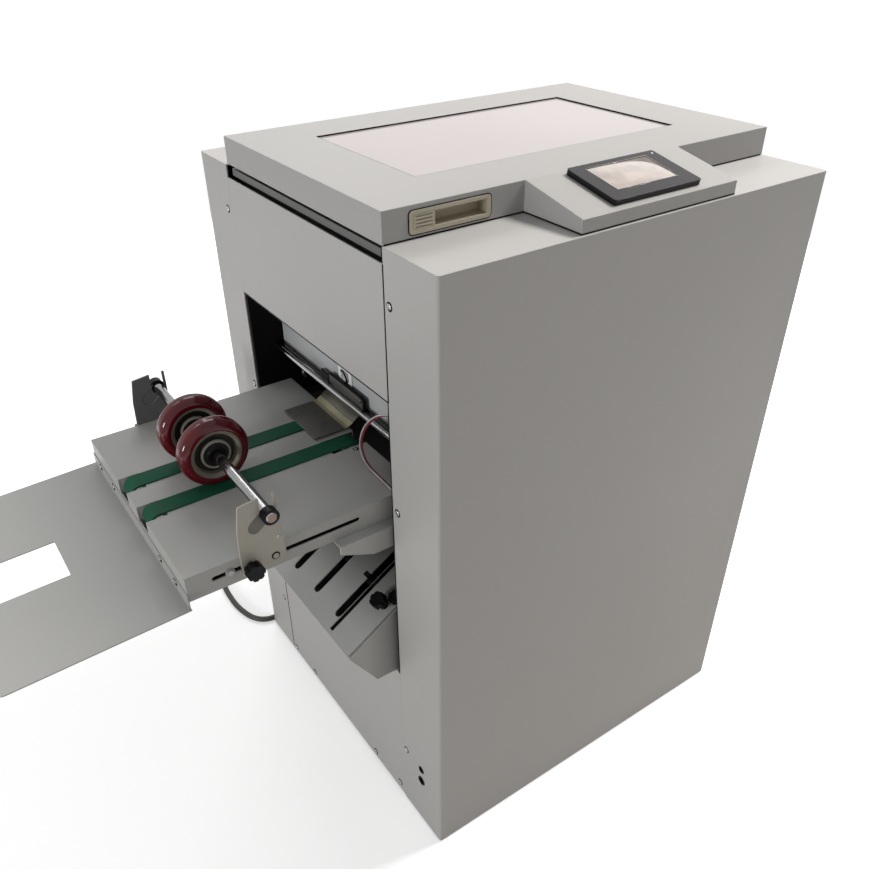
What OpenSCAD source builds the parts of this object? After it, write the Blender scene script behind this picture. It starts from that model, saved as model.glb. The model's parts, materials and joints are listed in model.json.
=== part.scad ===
// Wire booklet maker: a floor-standing cabinet with a hinged lid and operator console, an inclined
// chute where a set of sheets is stitched and folded, and a belt table with press wheels that
// carries the finished booklets out to a tray.
// X runs along the front face, Y runs from the front to the back, Z is up, all in millimetres.

/* [Cabinet] */
// Width of the cabinet, left face to right face
cab_w = 654; // [600:1:720]
// Depth of the cabinet, front face to rear face
cab_d = 631; // [600:1:700]
// Height of the front cover
cab_h = 1000; // [960:1:1060]
// Depth of the front cover
front_cover_d = 107; // [100:1:120]
// Depth of the rear cover
rear_cover_d = 96; // [80:1:110]
// Thickness of the cover and panel sheet
sheet = 2; // [1.5:0.1:3]
// Thickness of the two frame plates
frame_t = 6; // [4:0.5:8]
// Bend radius of the cover corners
bend_r = 4; // [3.5:0.5:8]
// Gap at the seams between panels and covers
seam = 1; // [0.3:0.1:1.5]
// Height of the front cover's lower edge over the floor
cover_lift = 3; // [2:0.5:6]
// Height of the side panels' lower edges over the floor
panel_lift = 6; // [4:0.5:12]
// Depth of the lower left panel's top edge under the chute's lower end
lower_panel_drop = 72; // [60:1:90]
// Height of the upper left panel's bottom edge over the table's top
upper_panel_rise = 160; // [140:1:178]
// Drop from the front cover's top to the side panels' top edges
panel_drop = 20; // [16:1:30]
// Width of the folded edges of the side panels
panel_fold = 14; // [8:1:20]
// Height of the infeed mouth in the right panel
infeed_h = 66; // [50:1:80]

/* [Base] */
// Height of the base plate's top over the floor
base_h = 54; // [48:1:70]
// Thickness of the base plate and its edge flanges
base_t = 6; // [4:0.5:10]
// Height of the base flanges' lower edge over the floor
base_low = 16; // [12:1:24]
// Radius of a levelling foot's pad
foot_r = 22; // [16:1:30]
// Radius of a levelling foot's stem
foot_stem_r = 6; // [4:0.5:8]
// Distance of the feet from the cabinet's faces
foot_inset = 60; // [45:1:90]

/* [Lid] */
// Gap between the front cover's top and the lid
lid_gap = 1; // [0.6:0.1:3]
// Height of the lid
lid_h = 38; // [30:1:50]
// Thickness of the lid's sheet
lid_t = 2; // [1.5:0.1:3]
// Setback of the lid's right side from the cabinet's right face
lid_short = 4; // [1:0.5:8]
// Gap between the lid's back and the rear cover
lid_back_gap = 8; // [8:0.5:12]
// Margin of the window opening at the left
win_left = 103; // [60:1:140]
// Margin of the window opening at the right
win_right = 97; // [60:1:140]
// Margin of the window opening at the front
win_front = 89; // [60:1:120]
// Margin of the window opening at the back
win_back = 81; // [60:1:120]
// Thickness of the window pane
pane_t = 4; // [3:0.5:6]
// Overlap of the pane behind the window opening's edge
pane_lap = 12; // [8:1:20]
// Radius of a hinge pin
hinge_pin_r = 2; // [1.5:0.1:2.2]
// Radius of a hinge barrel
hinge_r = 3.5; // [3.2:0.1:3.7]
// Length of each hinge
hinge_l = 60; // [40:1:90]
// Distance of the hinges from the lid's ends
hinge_inset = 130; // [80:1:180]

/* [Console] */
// Distance of the console's left side from the cabinet's left face
console_x = 201; // [185:1:230]
// Width of the console
console_w = 262; // [220:1:300]
// Setback of the console's front from the cabinet's front face
console_back = 4; // [2:0.5:10]
// Height of the console's front face
console_h = 17; // [12:1:24]
// Width of the touch screen's bezel
bezel_w = 147; // [130:1:180]
// Length of the bezel along the console's slope
bezel_l = 88; // [80:1:95]
// Thickness of the bezel
bezel_t = 7; // [5:0.5:10]
// Corner radius of the bezel
bezel_r = 4; // [2:0.5:8]
// Width of the screen
screen_w = 102; // [90:1:120]
// Length of the screen along the slope
screen_l = 57; // [50:1:66]
// Offset of the screen up the slope from the bezel's middle
screen_off = 5; // [0:0.5:8]

/* [Latch] */
// Distance of the latch from the lid's left side
latch_x = 35.5; // [20:0.5:60]
// Width of the latch's face
latch_w = 114; // [95:1:130]
// Height of the latch's face
latch_h = 27; // [24:0.5:29]
// Depth of the latch's finger recess
latch_depth = 18; // [12:0.5:24]
// Width of the latch's frame around its recess
latch_rim = 5; // [4:0.5:6]
// Width of the ribbed slider
slider_w = 29; // [20:0.5:36]
// Travel of the slider
slider_travel = 25; // [10:1:28]

/* [Delivery table] */
// Reach of the table out of the cabinet's left face
table_out = 283; // [270:1:320]
// Reach of the table into the cabinet
table_in = 53; // [45:1:56]
// Gap between the table's sides and the frame plates
table_gap = 17; // [13:1:23]
// Depth of the table's top under the front cover's top
table_depth = 358; // [350:1:364]
// Height of the table's sides
table_h = 37; // [35:1:42]
// Thickness of the table's sheet
table_t = 2; // [1.5:0.1:3]
// Distance of the side slot's outer end from the table's outer end
side_slot_start = 33; // [28:1:40]
// Length of the side slots that the shaft brackets slide in
side_slot_l = 211; // [200:1:225]
// Height of the side slots
side_slot_h = 6.6; // [6.6:0.1:8]
// Depth of the side slots' middle line under the table's top
side_slot_drop = 17; // [15:0.5:19]
// Depth of the support brackets' side flange
support_h = 35; // [25:1:45]
// Reach of the support brackets out of the cabinet's left face
support_out = 80; // [60:1:82]

/* [Belts] */
// Width of a belt
belt_w = 30; // [24:1:32]
// Thickness of a belt
belt_t = 2; // [1.5:0.1:2.5]
// Distance between the two belts' middle lines
belt_pitch = 79; // [72:1:90]
// Radius of the belt pulleys
pulley_r = 14; // [12:0.5:14.5]
// Radius of the belt rollers' shafts
axle_r = 5; // [4:0.5:6]
// Width of the belt cut-outs in the table
cut_w = 39; // [36:1:44]
// Distance of the idler's axis from the table's outer end
idler_in = 21; // [20:0.5:26]
// Distance of the drive roller's axis from the table's inner end
drive_in = 20; // [18:1:40]
// Reach of the inner belt cut-outs in front of the drive roller's axis
drive_cut = 36; // [20:1:40]

/* [Press wheels] */
// Radius of a wheel over its tyre
wheel_r = 50; // [46:0.5:52]
// Width of a wheel
wheel_w = 30; // [26:0.5:32]
// Radius of a wheel's core
core_r = 36.5; // [35:0.5:39]
// Radius of a wheel's hub
hub_r = 12; // [10:0.5:14]
// Radius of the press shaft
shaft_r = 7.5; // [6:0.5:8]
// Distance of the press shaft from the table's outer end
shaft_in = 115; // [105:1:125]
// Distance between the two wheels' middles
wheel_pitch = 74; // [66:1:84]
// Offset of the wheel pair towards the back
wheel_off = 13; // [0:1:16]
// Radius of the black collars on the shaft's ends
collar_r = 11; // [10.5:0.5:14]
// Width of a collar
collar_w = 12; // [8:0.5:13]
// Thickness of the shaft brackets
bracket_t = 3; // [2:0.5:4]
// Width of the shaft slot in the brackets
bracket_slot_w = 19; // [18:0.5:20]
// Radius of the clamp knobs
knob_r = 12; // [11:0.5:16]
// Radius of the clamp knobs' studs
stud_r = 3; // [2.5:0.1:3]

/* [Tray] */
// Length of the tray beyond the table's outer end
tray_l = 230; // [200:1:300]
// Overhang of the tray beyond each side of the table
tray_over = 7; // [0:0.5:14]
// Thickness of the tray's sheet
tray_t = 1.5; // [1.2:0.1:2.5]
// Drop of the tray under the table's lower edge
tray_drop = 7; // [4:0.5:10]
// Downward tilt of the tray in degrees
tray_tilt = 2; // [0:0.5:4]
// Height of the tray's screwed flange
tray_flange_h = 20; // [16:1:22]
// Width of the tray's notch
notch_w = 82; // [60:1:120]
// Distance of the notch's inner end from the table's outer end
notch_start = 104; // [80:1:140]
// Radius of the tray's outer corners
tray_r = 12; // [4:1:20]

/* [Chute] */
// Slope of the chute in degrees
chute_angle = 32.3; // [31:0.1:33]
// Reach of the chute's lower end out of the cabinet's left face
chute_out = 80; // [70:1:90]
// Depth of the chute's lower end under the table's top
chute_drop = 255; // [250:1:262]
// Gap between the chute and the frame plates
chute_gap = 5.5; // [4:0.5:8]
// Thickness of the chute's plate
chute_t = 2; // [1.5:0.1:3]
// Depth of the chute's side lips
chute_lip = 21; // [16:1:26]
// Width of the stop slots in the chute
slot_w = 14.5; // [12:0.5:18]
// Distance between neighbouring stop slots
slot_pitch = 68; // [62:1:70]
// Offset of the slots towards the back
slot_off = 11; // [4:1:14]
// Distance of the slots' lower ends from the chute's end
slot_start = 27; // [20:1:30]
// Length of the stop slots
slot_l = 220; // [200:1:224]
// Width of the thin guide slot
thin_slot_w = 8; // [5:0.5:10]
// Place of the paper stop along the slope
stop_s = 106; // [100:1:112]
// Radius of the chute's clamp knobs
chute_knob_r = 12.5; // [10:0.5:13]

/* [Fold unit] */
// Place of the fold line along the slope
fold_s = 330; // [325:1:335]
// Height of the fold rollers' axes over the chute
fold_rise = 62; // [56:1:66]
// Radius of a fold roller
fold_r = 22; // [19:0.5:23]
// Gap between the two fold rollers
fold_gap = 0.6; // [0.6:0.1:2]
// Radius of the fold rollers' shafts
fold_shaft_r = 8; // [6:0.5:9]
// Number of teeth on a fold gear
fold_teeth = 22; // [20:2:24]
// Number of teeth on the motor's pinion
pinion_teeth = 16; // [14:2:16]
// Width of the gears
gear_w = 10; // [6:0.5:12]
// Thickness of the fold knife's blade
knife_t = 2; // [1.5:0.1:3]
// Radius of the main motor
motor_r = 35; // [28:1:40]

/* [Stitching] */
// Place of the stitch line along the slope
stitch_s = 560; // [550:1:570]
// Distance between the stitch heads
head_pitch = 140; // [130:1:150]
// Width of a stitch head
head_w = 44; // [36:1:50]
// Gap between the stitch heads and the chute
head_gap = 12; // [10:1:20]
// Radius of a wire spool's flanges
spool_r = 45; // [36:1:50]
// Width of a wire spool
spool_w = 40; // [30:1:50]

/* [Leads] */
// Diameter of the mains lead
cord_d = 12; // [9:0.5:12]
// Height of the mains lead's gland over the floor
gland_z = 70; // [66:1:90]
// Outer radius of the coil at the middle of the cord
coil_r = 78; // [74:1:80]
// Turns in each of the coil's two layers
coil_turns = 1.75; // [1.75:0.5:2.25]
// Gap between the coil's turns and layers
coil_gap = 0.8; // [0.6:0.1:1]
// Diameter of the sensor lead
sensor_d = 3; // [2:0.5:3.5]

/* [Hidden] */
$fn = 64;

// Clearance between pieces that move past each other
run_gap = 0.3;
// Radial clearance of a shaft or pin that turns in its bore
fit_gap = 0.05;
// Overlap that keeps a cut clear of the face it opens
eps = 1;

// Planes of the frame: outer and inner faces of the two frame plates, and their middle
y_f0 = front_cover_d;
y_f1 = y_f0 + frame_t;
y_r1 = cab_d - rear_cover_d;
y_r0 = y_r1 - frame_t;
y_mid = (y_f0 + y_r1) / 2;
frame_x = [sheet, cab_w - sheet];
panel_top = cab_h - panel_drop;
frame_top = panel_top - 2;
inside_y = [y_f1, y_r0];
inside_w = y_r0 - y_f1;
base_gap = 0.3 * (bend_r - sheet) + 0.2;

// Heights that follow the cabinet's top, and widths that follow the frame
table_top = cab_h - table_depth;
chute_low = table_top - chute_drop;
lower_panel_top = chute_low - lower_panel_drop;
upper_panel_low = table_top + upper_panel_rise;
table_w = inside_w - 2 * table_gap;
tray_w = table_w + 2 * tray_over;
chute_w = inside_w - 2 * chute_gap;
foot_pts = [for (x = [foot_inset, cab_w - foot_inset], y = [foot_inset, cab_d - foot_inset]) [x, y]];

// Lid, its hinge line and the console's slope
lid_lap = 1;
lid_z0 = cab_h + lid_gap;
lid_z1 = lid_z0 + lid_h;
lid_y0 = front_cover_d - lid_lap;
lid_y1 = y_r1 - lid_back_gap;
lid_x1 = cab_w - lid_short;
win_x = [win_left, lid_x1 - win_right];
win_y = [lid_y0 + win_front, lid_y1 - win_back];
hinge_y = lid_y1 + lid_back_gap / 2;
hinge_z = lid_z0 + 2;
hinge_mid = hinge_l / 3;
leaf_t = 1.2;
leaf_drop = 28;
leaf_rise = 25;
hinge_xs = [hinge_inset, lid_x1 - hinge_inset];
console_y0 = console_back;
console_z1 = lid_z0 + console_h;
console_run = lid_y0 - console_y0;
console_slope = atan((lid_z1 - console_z1) / console_run);
bezel_mid_y = console_y0 + console_run * 0.52;
bezel_mid_x = console_x + console_w / 2;
screen_t = 0.8;

// Latch
latch_z0 = lid_z0 + (lid_h - latch_h) / 2 - 1;
latch_wall = 1.5;
latch_r = 4.5;
latch_lip = 1.2;
recess_x = [latch_x + latch_rim, latch_x + latch_w - latch_rim];
recess_z = [latch_z0 + latch_rim, latch_z0 + latch_h - latch_rim];
slider_play = 0.4;
slider_ribs = 4;

// Delivery table, belts and rollers
table_x = [-table_out, table_in];
table_y = [y_mid - table_w / 2, y_mid + table_w / 2];
table_low = table_top - table_h;
side_slot_z = table_top - side_slot_drop;
side_slot_x = [-table_out + side_slot_start, -table_out + side_slot_start + side_slot_l];
belt_off = 3.5;
belt_ys = [y_mid + belt_off - belt_pitch / 2, y_mid + belt_off + belt_pitch / 2];
roller_z = table_top - pulley_r;
idler_x = -table_out + idler_in;
drive_x = table_in - drive_in;
belt_in_r = pulley_r + run_gap;
pulley_w = belt_w + 6;
cut_reach = sqrt(pow(pulley_r, 2) - pow(pulley_r - table_t - 0.5, 2)) + 2;
end_notch_z = table_low + 15;
hanger_t = 2;
hanger_w = 14;
hanger_y = cut_w / 2 + 0.5;
belt_motor_r = 11;
belt_motor_l = 66;
belt_motor_y = belt_ys[1] + hanger_y + 12;
belt_top = table_top + run_gap + belt_t;

// Support brackets under the table
support_lap = 8;
support_in = 120;
support_nose = 13;
support_cut = 50;

// Press shaft, wheels, brackets and their clamp knobs
shaft_x = -table_out + shaft_in;
shaft_z = belt_top + run_gap + wheel_r;
wheel_ys = [y_mid + wheel_off - wheel_pitch / 2, y_mid + wheel_off + wheel_pitch / 2];
bracket_y = [table_y[0] - run_gap - bracket_t, table_y[0] - run_gap];
nut_t = 4;
nut_y = [table_y[0] + table_t + run_gap, table_y[0] + table_t + run_gap + nut_t];
knob_dx = -32;
pin_dx = 3;
bracket_low = side_slot_z - 12;
bracket_top = shaft_z + 25;
knob_skirt = 6;
knob_head = 13;
// Reach of the studs that the bracket knobs screw on
clamp_stud = 12;
shaft_over = 2;
shoulder_r = 12;
rim_w = 6.5;
rim_chamfer = 3.5;
boss_w = 9;
web_t = 10;
collar_y = [bracket_y[0] - run_gap - collar_w, bracket_y[0] - run_gap];

// Tray
tray_z = table_low - tray_drop;
tray_y = [y_mid - tray_w / 2, y_mid + tray_w / 2];

// Chute: a point s along the slope and n above it, as [x, z]
function chute_pt(s, n) = [
    -chute_out + s * cos(chute_angle) - n * sin(chute_angle),
    chute_low + s * sin(chute_angle) + n * cos(chute_angle)
];
chute_y = [y_mid - chute_w / 2, y_mid + chute_w / 2];
chute_end_gap = 12;
chute_l = (cab_w - sheet - chute_end_gap + chute_out) / cos(chute_angle);
infeed_z0 = chute_low + (cab_w + chute_out) * tan(chute_angle) - chute_end_gap;
slot_ys = [for (i = [-2:2]) y_mid + slot_off + i * slot_pitch];
thin_slot_y = slot_ys[0] - slot_w / 2 - thin_slot_w / 2 - 0.5;
thin_slot_start = 8;
wall_in = 60;
lip_t = 1.5;
lip_gap = 1.5;
sheet_t = 1;
plate_edge = lip_t + 2 * lip_gap + sheet_t;
bar_t = 16;
bar_ss = [slot_start + slot_l + 20, 430, 780];
stop_bar_w = 20;
stop_bar_h = 20;
stop_reach = 16;
finger_w = 10;
finger_t = 8;
// Height of the studs the chute knobs screw on
weld_stud = 7;
// Chute knobs: place along and across, skirt height, head height and share of the full radius
knob_low_pt = [92, chute_y[0] + 22.5, 12, 12, 1];
knob_high_pt = [112, chute_y[0] + 12.5, 2, 9, 0.84];

// Fold rollers, their gears and the knife
fold_c = fold_r + fold_gap / 2;
fold_up = chute_pt(fold_s + fold_c, fold_rise);
fold_dn = chute_pt(fold_s - fold_c, fold_rise);
fold_side = 7;
fold_over = 10;
gear_m = 2 * fold_c / fold_teeth;
gear_y = [y_f0 - 5 - gear_w, y_f0 - 5];
pinion_pitch_r = gear_m * pinion_teeth / 2;
pinion_dir = 233;
pinion_at = fold_dn + (fold_c + pinion_pitch_r) * [cos(pinion_dir), sin(pinion_dir)];
pinion_shaft_r = 6;
function frac(v) = v - floor(v);
phase_up = chute_angle + 180;
phase_dn = chute_angle + 180 / fold_teeth;
mesh_dn = frac((pinion_dir - phase_dn) * fold_teeth / 360);
phase_pinion = pinion_dir + 180 - (0.5 - mesh_dn) * 360 / pinion_teeth;
motor_y = [sheet + 10, gear_y[0] - 8];
motor_flange = 4;
motor_post = 34;
motor_post_r = 5;
motor_bore = 30;
knife_y = chute_w / 2 - 20;
knife_n = [-70, -6];
knife_bar_h = 20;
knife_bar_w = 24;
knife_slot = 8;

// Stitch heads, clinchers and wire spools
rail_w = 20;
rail_n = [100, 125];
head_n = [head_gap, 60, 150];
head_s = 50;
nose_s = 26;
head_ys = [y_mid - head_pitch / 2, y_mid + head_pitch / 2];
clinch_n = [-40, -20];
clinch_s = 24;
clinch_w = 30;
clinch_t = 16;
clinch_gap = 2;
spool_at = [cab_w - 94, cab_h - 100];
spool_axle_r = 6;
drum_r = spool_r - 10;
spool_flange = 3;

// Booklet exit behind the delivery opening
inner_x = table_in + 3;
inner_low = table_top + 58;
inner_high = cab_h - 100;
inner_t = 2;
bend_x = 100;
exit_bend_r = 70;
deflect_z = inner_low + 12;
exit_rod_r = 4;
exit_rod_at = [table_in - 15, table_top + 63];
exit_rail_x = [table_in - 7, table_in - 1];
exit_rail_z = [table_top + 52, table_top + 62];
exit_clip_y = [y_mid - 50, y_mid + 65];
exit_bar_x = [78, 92];
exit_bar_h = 10;
exit_clip_r = 4;
flap_lift = 2.8;
flap_t = 1.2;
flap_x = [-8, 92];
flap_bend = 50;
flap_angle = 35;
flap_z = table_top + flap_lift;
flap_y = [y_mid - 9, y_mid + 94];

// Sensor lead: a loop between two grommets in the front frame plate
// Its points are measured from the plate's inner face and from the table's top
sensor_route = [
    [24, 0, 120], [24, 11, 120], [23, 32, 115], [21, 57, 102], [20, 81, 80], [20, 98, 56],
    [20, 106, 31], [20, 99, 13], [20, 82, 5], [20, 57, 3], [19, 32, 3], [18, 12, 3], [18, 0, 3]
];
sensor_path = [for (p = sensor_route) p + [0, y_f1, table_top]];

// Mains lead: out of the rear cover, down to the floor and round the rear left corner to its coil
// Its points are x, the distance out from the rear face, and the share of the gland's height
gland_x = 300;
gland_l = 34;
lead_z = cord_d / 2;
coil_out = 149;
coil_mid = [150, cab_d + coil_out];
mains_route = [
    [300, gland_l, 1], [300, 53, 0.98], [296, 73, 0.84], [282, 88, 0.53], [258, 91, 0.22], [228, 80, 0.05],
    [198, 62, 0], [165, 42, 0], [128, 25, 0], [95, 14, 0], [60, 9, 0], [30, 8, 0], [8, 8, 0], [-9, 11, 0],
    [-24, 20, 0], [-36, 36, 0], [-44, 59, 0], [-49, 87, 0], [-50, 118, 0], [-47, 160, 0], [-34, 197, 0],
    [-8, 223, 0], [28, 235, 0],
    [68, 234, 0], [105, 229, 0], [coil_mid.x - cord_d, coil_out + coil_r, 0]
];
mains_path = [for (p = mains_route) [p.x, cab_d + p.y, lead_z + p.z * (gland_z - lead_z)]];
coil_pitch = cord_d + coil_gap;
coil_in = coil_r - coil_turns * coil_pitch;
coil_dip = 0.35 * coil_pitch;
loop_rings = 24;
coil_tail = 45;
plug_cone_l = 20;
plug_r = cord_d / 2 + coil_pitch - 0.1;
plug_l = 34;

// Whole object: its box is centred on the origin, with its feet on the floor
tray_end = -table_out - tray_l * cos(tray_tilt);
object_mid = [(tray_end + cab_w) / 2, (cab_d + gland_l) / 2];

// Shared shapes

// Both ends of a length: h to each side of c, or from a to b measured from c
function around(c, h) = [c - h, c + h];
function from_to(c, a, b) = [c + a, c + b];

module placed() {
    translate([-object_mid.x, -object_mid.y, 0]) children();
}

module box(x, y, z) {
    translate([x[0], y[0], z[0]]) cube([x[1] - x[0], y[1] - y[0], z[1] - z[0]]);
}

module rod_y(at, y, r) {
    translate([at.x, y[0], at.y]) rotate([-90, 0, 0]) cylinder(h = y[1] - y[0], r = r);
}

module rod_x(y, z, x, r) {
    translate([x[0], y, z]) rotate([0, 90, 0]) cylinder(h = x[1] - x[0], r = r);
}

// An outline drawn in x and z, given its thickness along y
module plate_y(y) {
    translate([0, y[1], 0]) rotate([90, 0, 0]) linear_extrude(y[1] - y[0]) children();
}

// An outline drawn in y and z, given its thickness along x
module plate_x(x) {
    translate([x[0], 0, 0]) rotate([90, 0, 90]) linear_extrude(x[1] - x[0]) children();
}

module rect(x, y) {
    translate([x[0], y[0]]) square([x[1] - x[0], y[1] - y[0]]);
}

// A straight slot with round ends between two points
module slot(a, b, r) {
    span = norm(b - a);
    translate(a) circle(r);
    translate(b) circle(r);
    translate(a) rotate(atan2(b.y - a.y, b.x - a.x)) translate([0, -r]) square([span, 2 * r]);
}

module round_rect(x, y, r) {
    rect([x[0] + r, x[1] - r], y);
    rect(x, [y[0] + r, y[1] - r]);
    for (cx = [x[0] + r, x[1] - r], cy = [y[0] + r, y[1] - r]) translate([cx, cy]) circle(r);
}

// A cover's plan: two round corners at the low-y side
module cover_plan(x, y, r) {
    rect([x[0] + r, x[1] - r], y);
    rect(x, [y[0] + r, y[1]]);
    for (cx = [x[0] + r, x[1] - r]) translate([cx, y[0] + r]) circle(r);
}

// The same piece on the other side of the middle plane
module other_side() {
    translate([0, 2 * y_mid, 0]) mirror([0, 1, 0]) children();
}

module on_chute() {
    translate([-chute_out, 0, chute_low]) rotate([0, -chute_angle, 0]) children();
}

module on_console() {
    rise = (lid_z1 - console_z1) * (bezel_mid_y - console_y0) / console_run;
    translate([bezel_mid_x, bezel_mid_y, console_z1 + rise]) rotate([console_slope, 0, 0]) children();
}

// A star-shaped knob: lobed head over a round skirt, along z
module star_knob(r, head, skirt, skirt_r) {
    lobes = 7;
    translate([0, 0, skirt]) linear_extrude(head) difference() {
        circle(r);
        for (i = [0:lobes - 1]) rotate((i + 0.5) * 360 / lobes) translate([r * 1.06, 0]) circle(r * 0.2);
    }
    cylinder(h = skirt + eps, r = skirt_r);
}

// A spur gear's outline with plenty of backlash
module gear_2d(teeth, phase) {
    pitch_r = gear_m * teeth / 2;
    tip_r = pitch_r + 0.9 * gear_m;
    root_r = pitch_r - 1.15 * gear_m;
    step = 360 / teeth;
    polygon([
        for (i = [0:teeth - 1], k = [[-0.33, root_r], [-0.13, tip_r], [0.13, tip_r], [0.33, root_r]])
            let (a = phase + (i + k[0]) * step) k[1] * [cos(a), sin(a)]
    ]);
}

// Tubes swept along points
function unit(v) = v / norm(v);
function heading(p, i) = unit(p[min(i + 1, len(p) - 1)] - p[max(i - 1, 0)]);
function ring(c, t, r, sides, ref) = let (u = unit(cross(ref, t)), w = cross(t, u))
    [for (k = [0:sides - 1]) c + r * (cos(k * 360 / sides) * u + sin(k * 360 / sides) * w)];
function curve(a, b, c, d, t) = 0.5 * (2 * b + (c - a) * t + (2 * a - 5 * b + 4 * c - d) * t * t
    + (3 * b - a - 3 * c + d) * t * t * t);
function smooth(p, steps) = [
    for (i = [0:len(p) - 2], k = [0:steps - 1])
        curve(p[max(i - 1, 0)], p[i], p[i + 1], p[min(i + 2, len(p) - 1)], k / steps),
    p[len(p) - 1]
];

module tube(p, r, sides, ref) {
    last = len(p) - 1;
    function at(i, k) = i * sides + k % sides;
    polyhedron(
        points = [for (i = [0:last]) each ring(p[i], heading(p, i), r, sides, ref)],
        faces = [
            for (i = [0:last - 1], k = [0:sides - 1]) each [
                [at(i, k), at(i, k + 1), at(i + 1, k + 1)],
                [at(i, k), at(i + 1, k + 1), at(i + 1, k)]
            ],
            for (k = [1:sides - 2]) [at(0, 0), at(0, k + 1), at(0, k)],
            for (k = [1:sides - 2]) [at(last, 0), at(last, k), at(last, k + 1)]
        ]
    );
}

// Cabinet

module base_plate() {
    base_x = frame_x + [base_gap, -base_gap];
    base_y = [sheet + base_gap, cab_d - sheet - base_gap];
    color("dimgray") difference() {
        box(base_x, base_y, [base_low, base_h]);
        box(base_x + [base_t, -base_t], base_y + [base_t, -base_t],
            [base_low - eps, base_h - base_t]);
        for (p = foot_pts) translate(p) cylinder(h = base_h + eps, r = foot_stem_r + fit_gap);
    }
}

module levelling_feet() {
    pad_h = 8;
    nut_h = 8;
    nut_r = foot_stem_r + 5;
    color("black") for (p = foot_pts) translate(p) {
        cylinder(h = pad_h, r = foot_r);
        cylinder(h = base_h + nut_h, r = foot_stem_r);
        translate([0, 0, base_h - base_t - nut_h]) cylinder(h = nut_h, r = nut_r, $fn = 6);
    }
}

module frame_plate(y) {
    difference() {
        box(frame_x, y, [base_h, frame_top]);
        for (at = [fold_up, fold_dn]) rod_y(at, y + [-eps, eps], fold_shaft_r + fit_gap);
    }
}

module front_frame_plate() {
    color("gray") frame_plate([y_f0, y_f1]);
}

module rear_frame_plate() {
    color("gray") frame_plate([y_r0, y_r1]);
}

module cross_bars() {
    top_bar = [30, 27];
    bar_in = 20;
    ledge_in = 5;
    top_z = panel_top + 12;
    color("silver") {
        for (x = [bar_in, cab_w - bar_in - top_bar.x])
            box([x, x + top_bar.x], inside_y, [top_z - top_bar.y, top_z]);
        for (x = [[ledge_in, bar_in + 5], [cab_w - bar_in - 5, cab_w - ledge_in]])
            box(x, inside_y + [5, -5], [panel_top + 4, panel_top + 14]);
        on_chute() for (s = bar_ss) box(around(s, bar_t / 2), inside_y, [-chute_t - bar_t, -chute_t]);
    }
}

module front_cover() {
    access = [[front_cover_d / 2, 135.5, 5], [front_cover_d / 2, 107, 7]];
    color("silver") difference() {
        translate([0, 0, cover_lift]) linear_extrude(cab_h - cover_lift)
            cover_plan([0, cab_w], [0, front_cover_d], bend_r);
        translate([0, 0, cover_lift - eps]) linear_extrude(cab_h - sheet - cover_lift + eps)
            cover_plan(frame_x, [sheet, front_cover_d + eps], bend_r - sheet);
        for (a = access) rod_x(a.x, a.y, [-eps, sheet + eps], a.z);
    }
}

module rear_cover() {
    top = cab_h - 2;
    hole_r = cord_d / 2 + 4;
    color("silver") difference() {
        translate([0, cab_d, panel_lift]) mirror([0, 1, 0]) linear_extrude(top - panel_lift)
            cover_plan([0, cab_w], [0, rear_cover_d], bend_r);
        translate([0, cab_d, panel_lift - eps]) mirror([0, 1, 0])
            linear_extrude(top - sheet - panel_lift + eps)
                cover_plan(frame_x, [sheet, rear_cover_d + eps], bend_r - sheet);
        rod_y([gland_x, gland_z], [cab_d - sheet - eps, cab_d + eps], hole_r + fit_gap);
    }
}

module left_upper_panel() {
    color("silver") {
        box([0, sheet], [y_f0 + seam, y_r1 - seam], [upper_panel_low, panel_top]);
        box([0, panel_fold], [y_f1 + seam, y_r0 - seam], [upper_panel_low, upper_panel_low + sheet]);
    }
}

module left_lower_panel() {
    color("silver") {
        box([0, sheet], [y_f0 + seam, y_r1 - seam], [panel_lift, lower_panel_top]);
        box([0, panel_fold], [y_f1 + seam, y_r0 - seam], [lower_panel_top - sheet, lower_panel_top]);
    }
}

module right_panel() {
    mouth_y = [chute_y[0] + 5, chute_y[1] - 5];
    color("silver") difference() {
        box([cab_w - sheet, cab_w], [y_f0 + seam, y_r1 - seam], [panel_lift, panel_top]);
        box([cab_w - sheet - eps, cab_w + eps], mouth_y, [infeed_z0, infeed_z0 + infeed_h]);
    }
}

// Chute and paper stop

// One side of the chute: its wall, the thin guide sheet and the plate's own lip
module chute_side() {
    wall_s = (wall_in + chute_out) / cos(chute_angle);
    wall_y = chute_y[0] + 0.1;
    outer = 0.3;
    end_n = (lower_panel_top - chute_pt(outer, 0).y) / cos(chute_angle);
    sheet_y = chute_y[0] + lip_t + lip_gap;
    lip_y = chute_y[0] + plate_edge;
    lip_end = bar_ss[0] - bar_t;
    plate_y([wall_y, wall_y + lip_t]) polygon([
        chute_pt(outer, -chute_t / 2), chute_pt(outer, end_n), [wall_in, lower_panel_top],
        chute_pt(wall_s, -chute_t / 2)
    ]);
    on_chute() {
        box([1, lip_end], from_to(sheet_y, 0.1, sheet_t - 0.1), [-chute_lip, -chute_t / 2]);
        box([1, lip_end], from_to(lip_y, 0.1, lip_t), [-chute_lip, -chute_t / 2]);
    }
}

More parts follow.
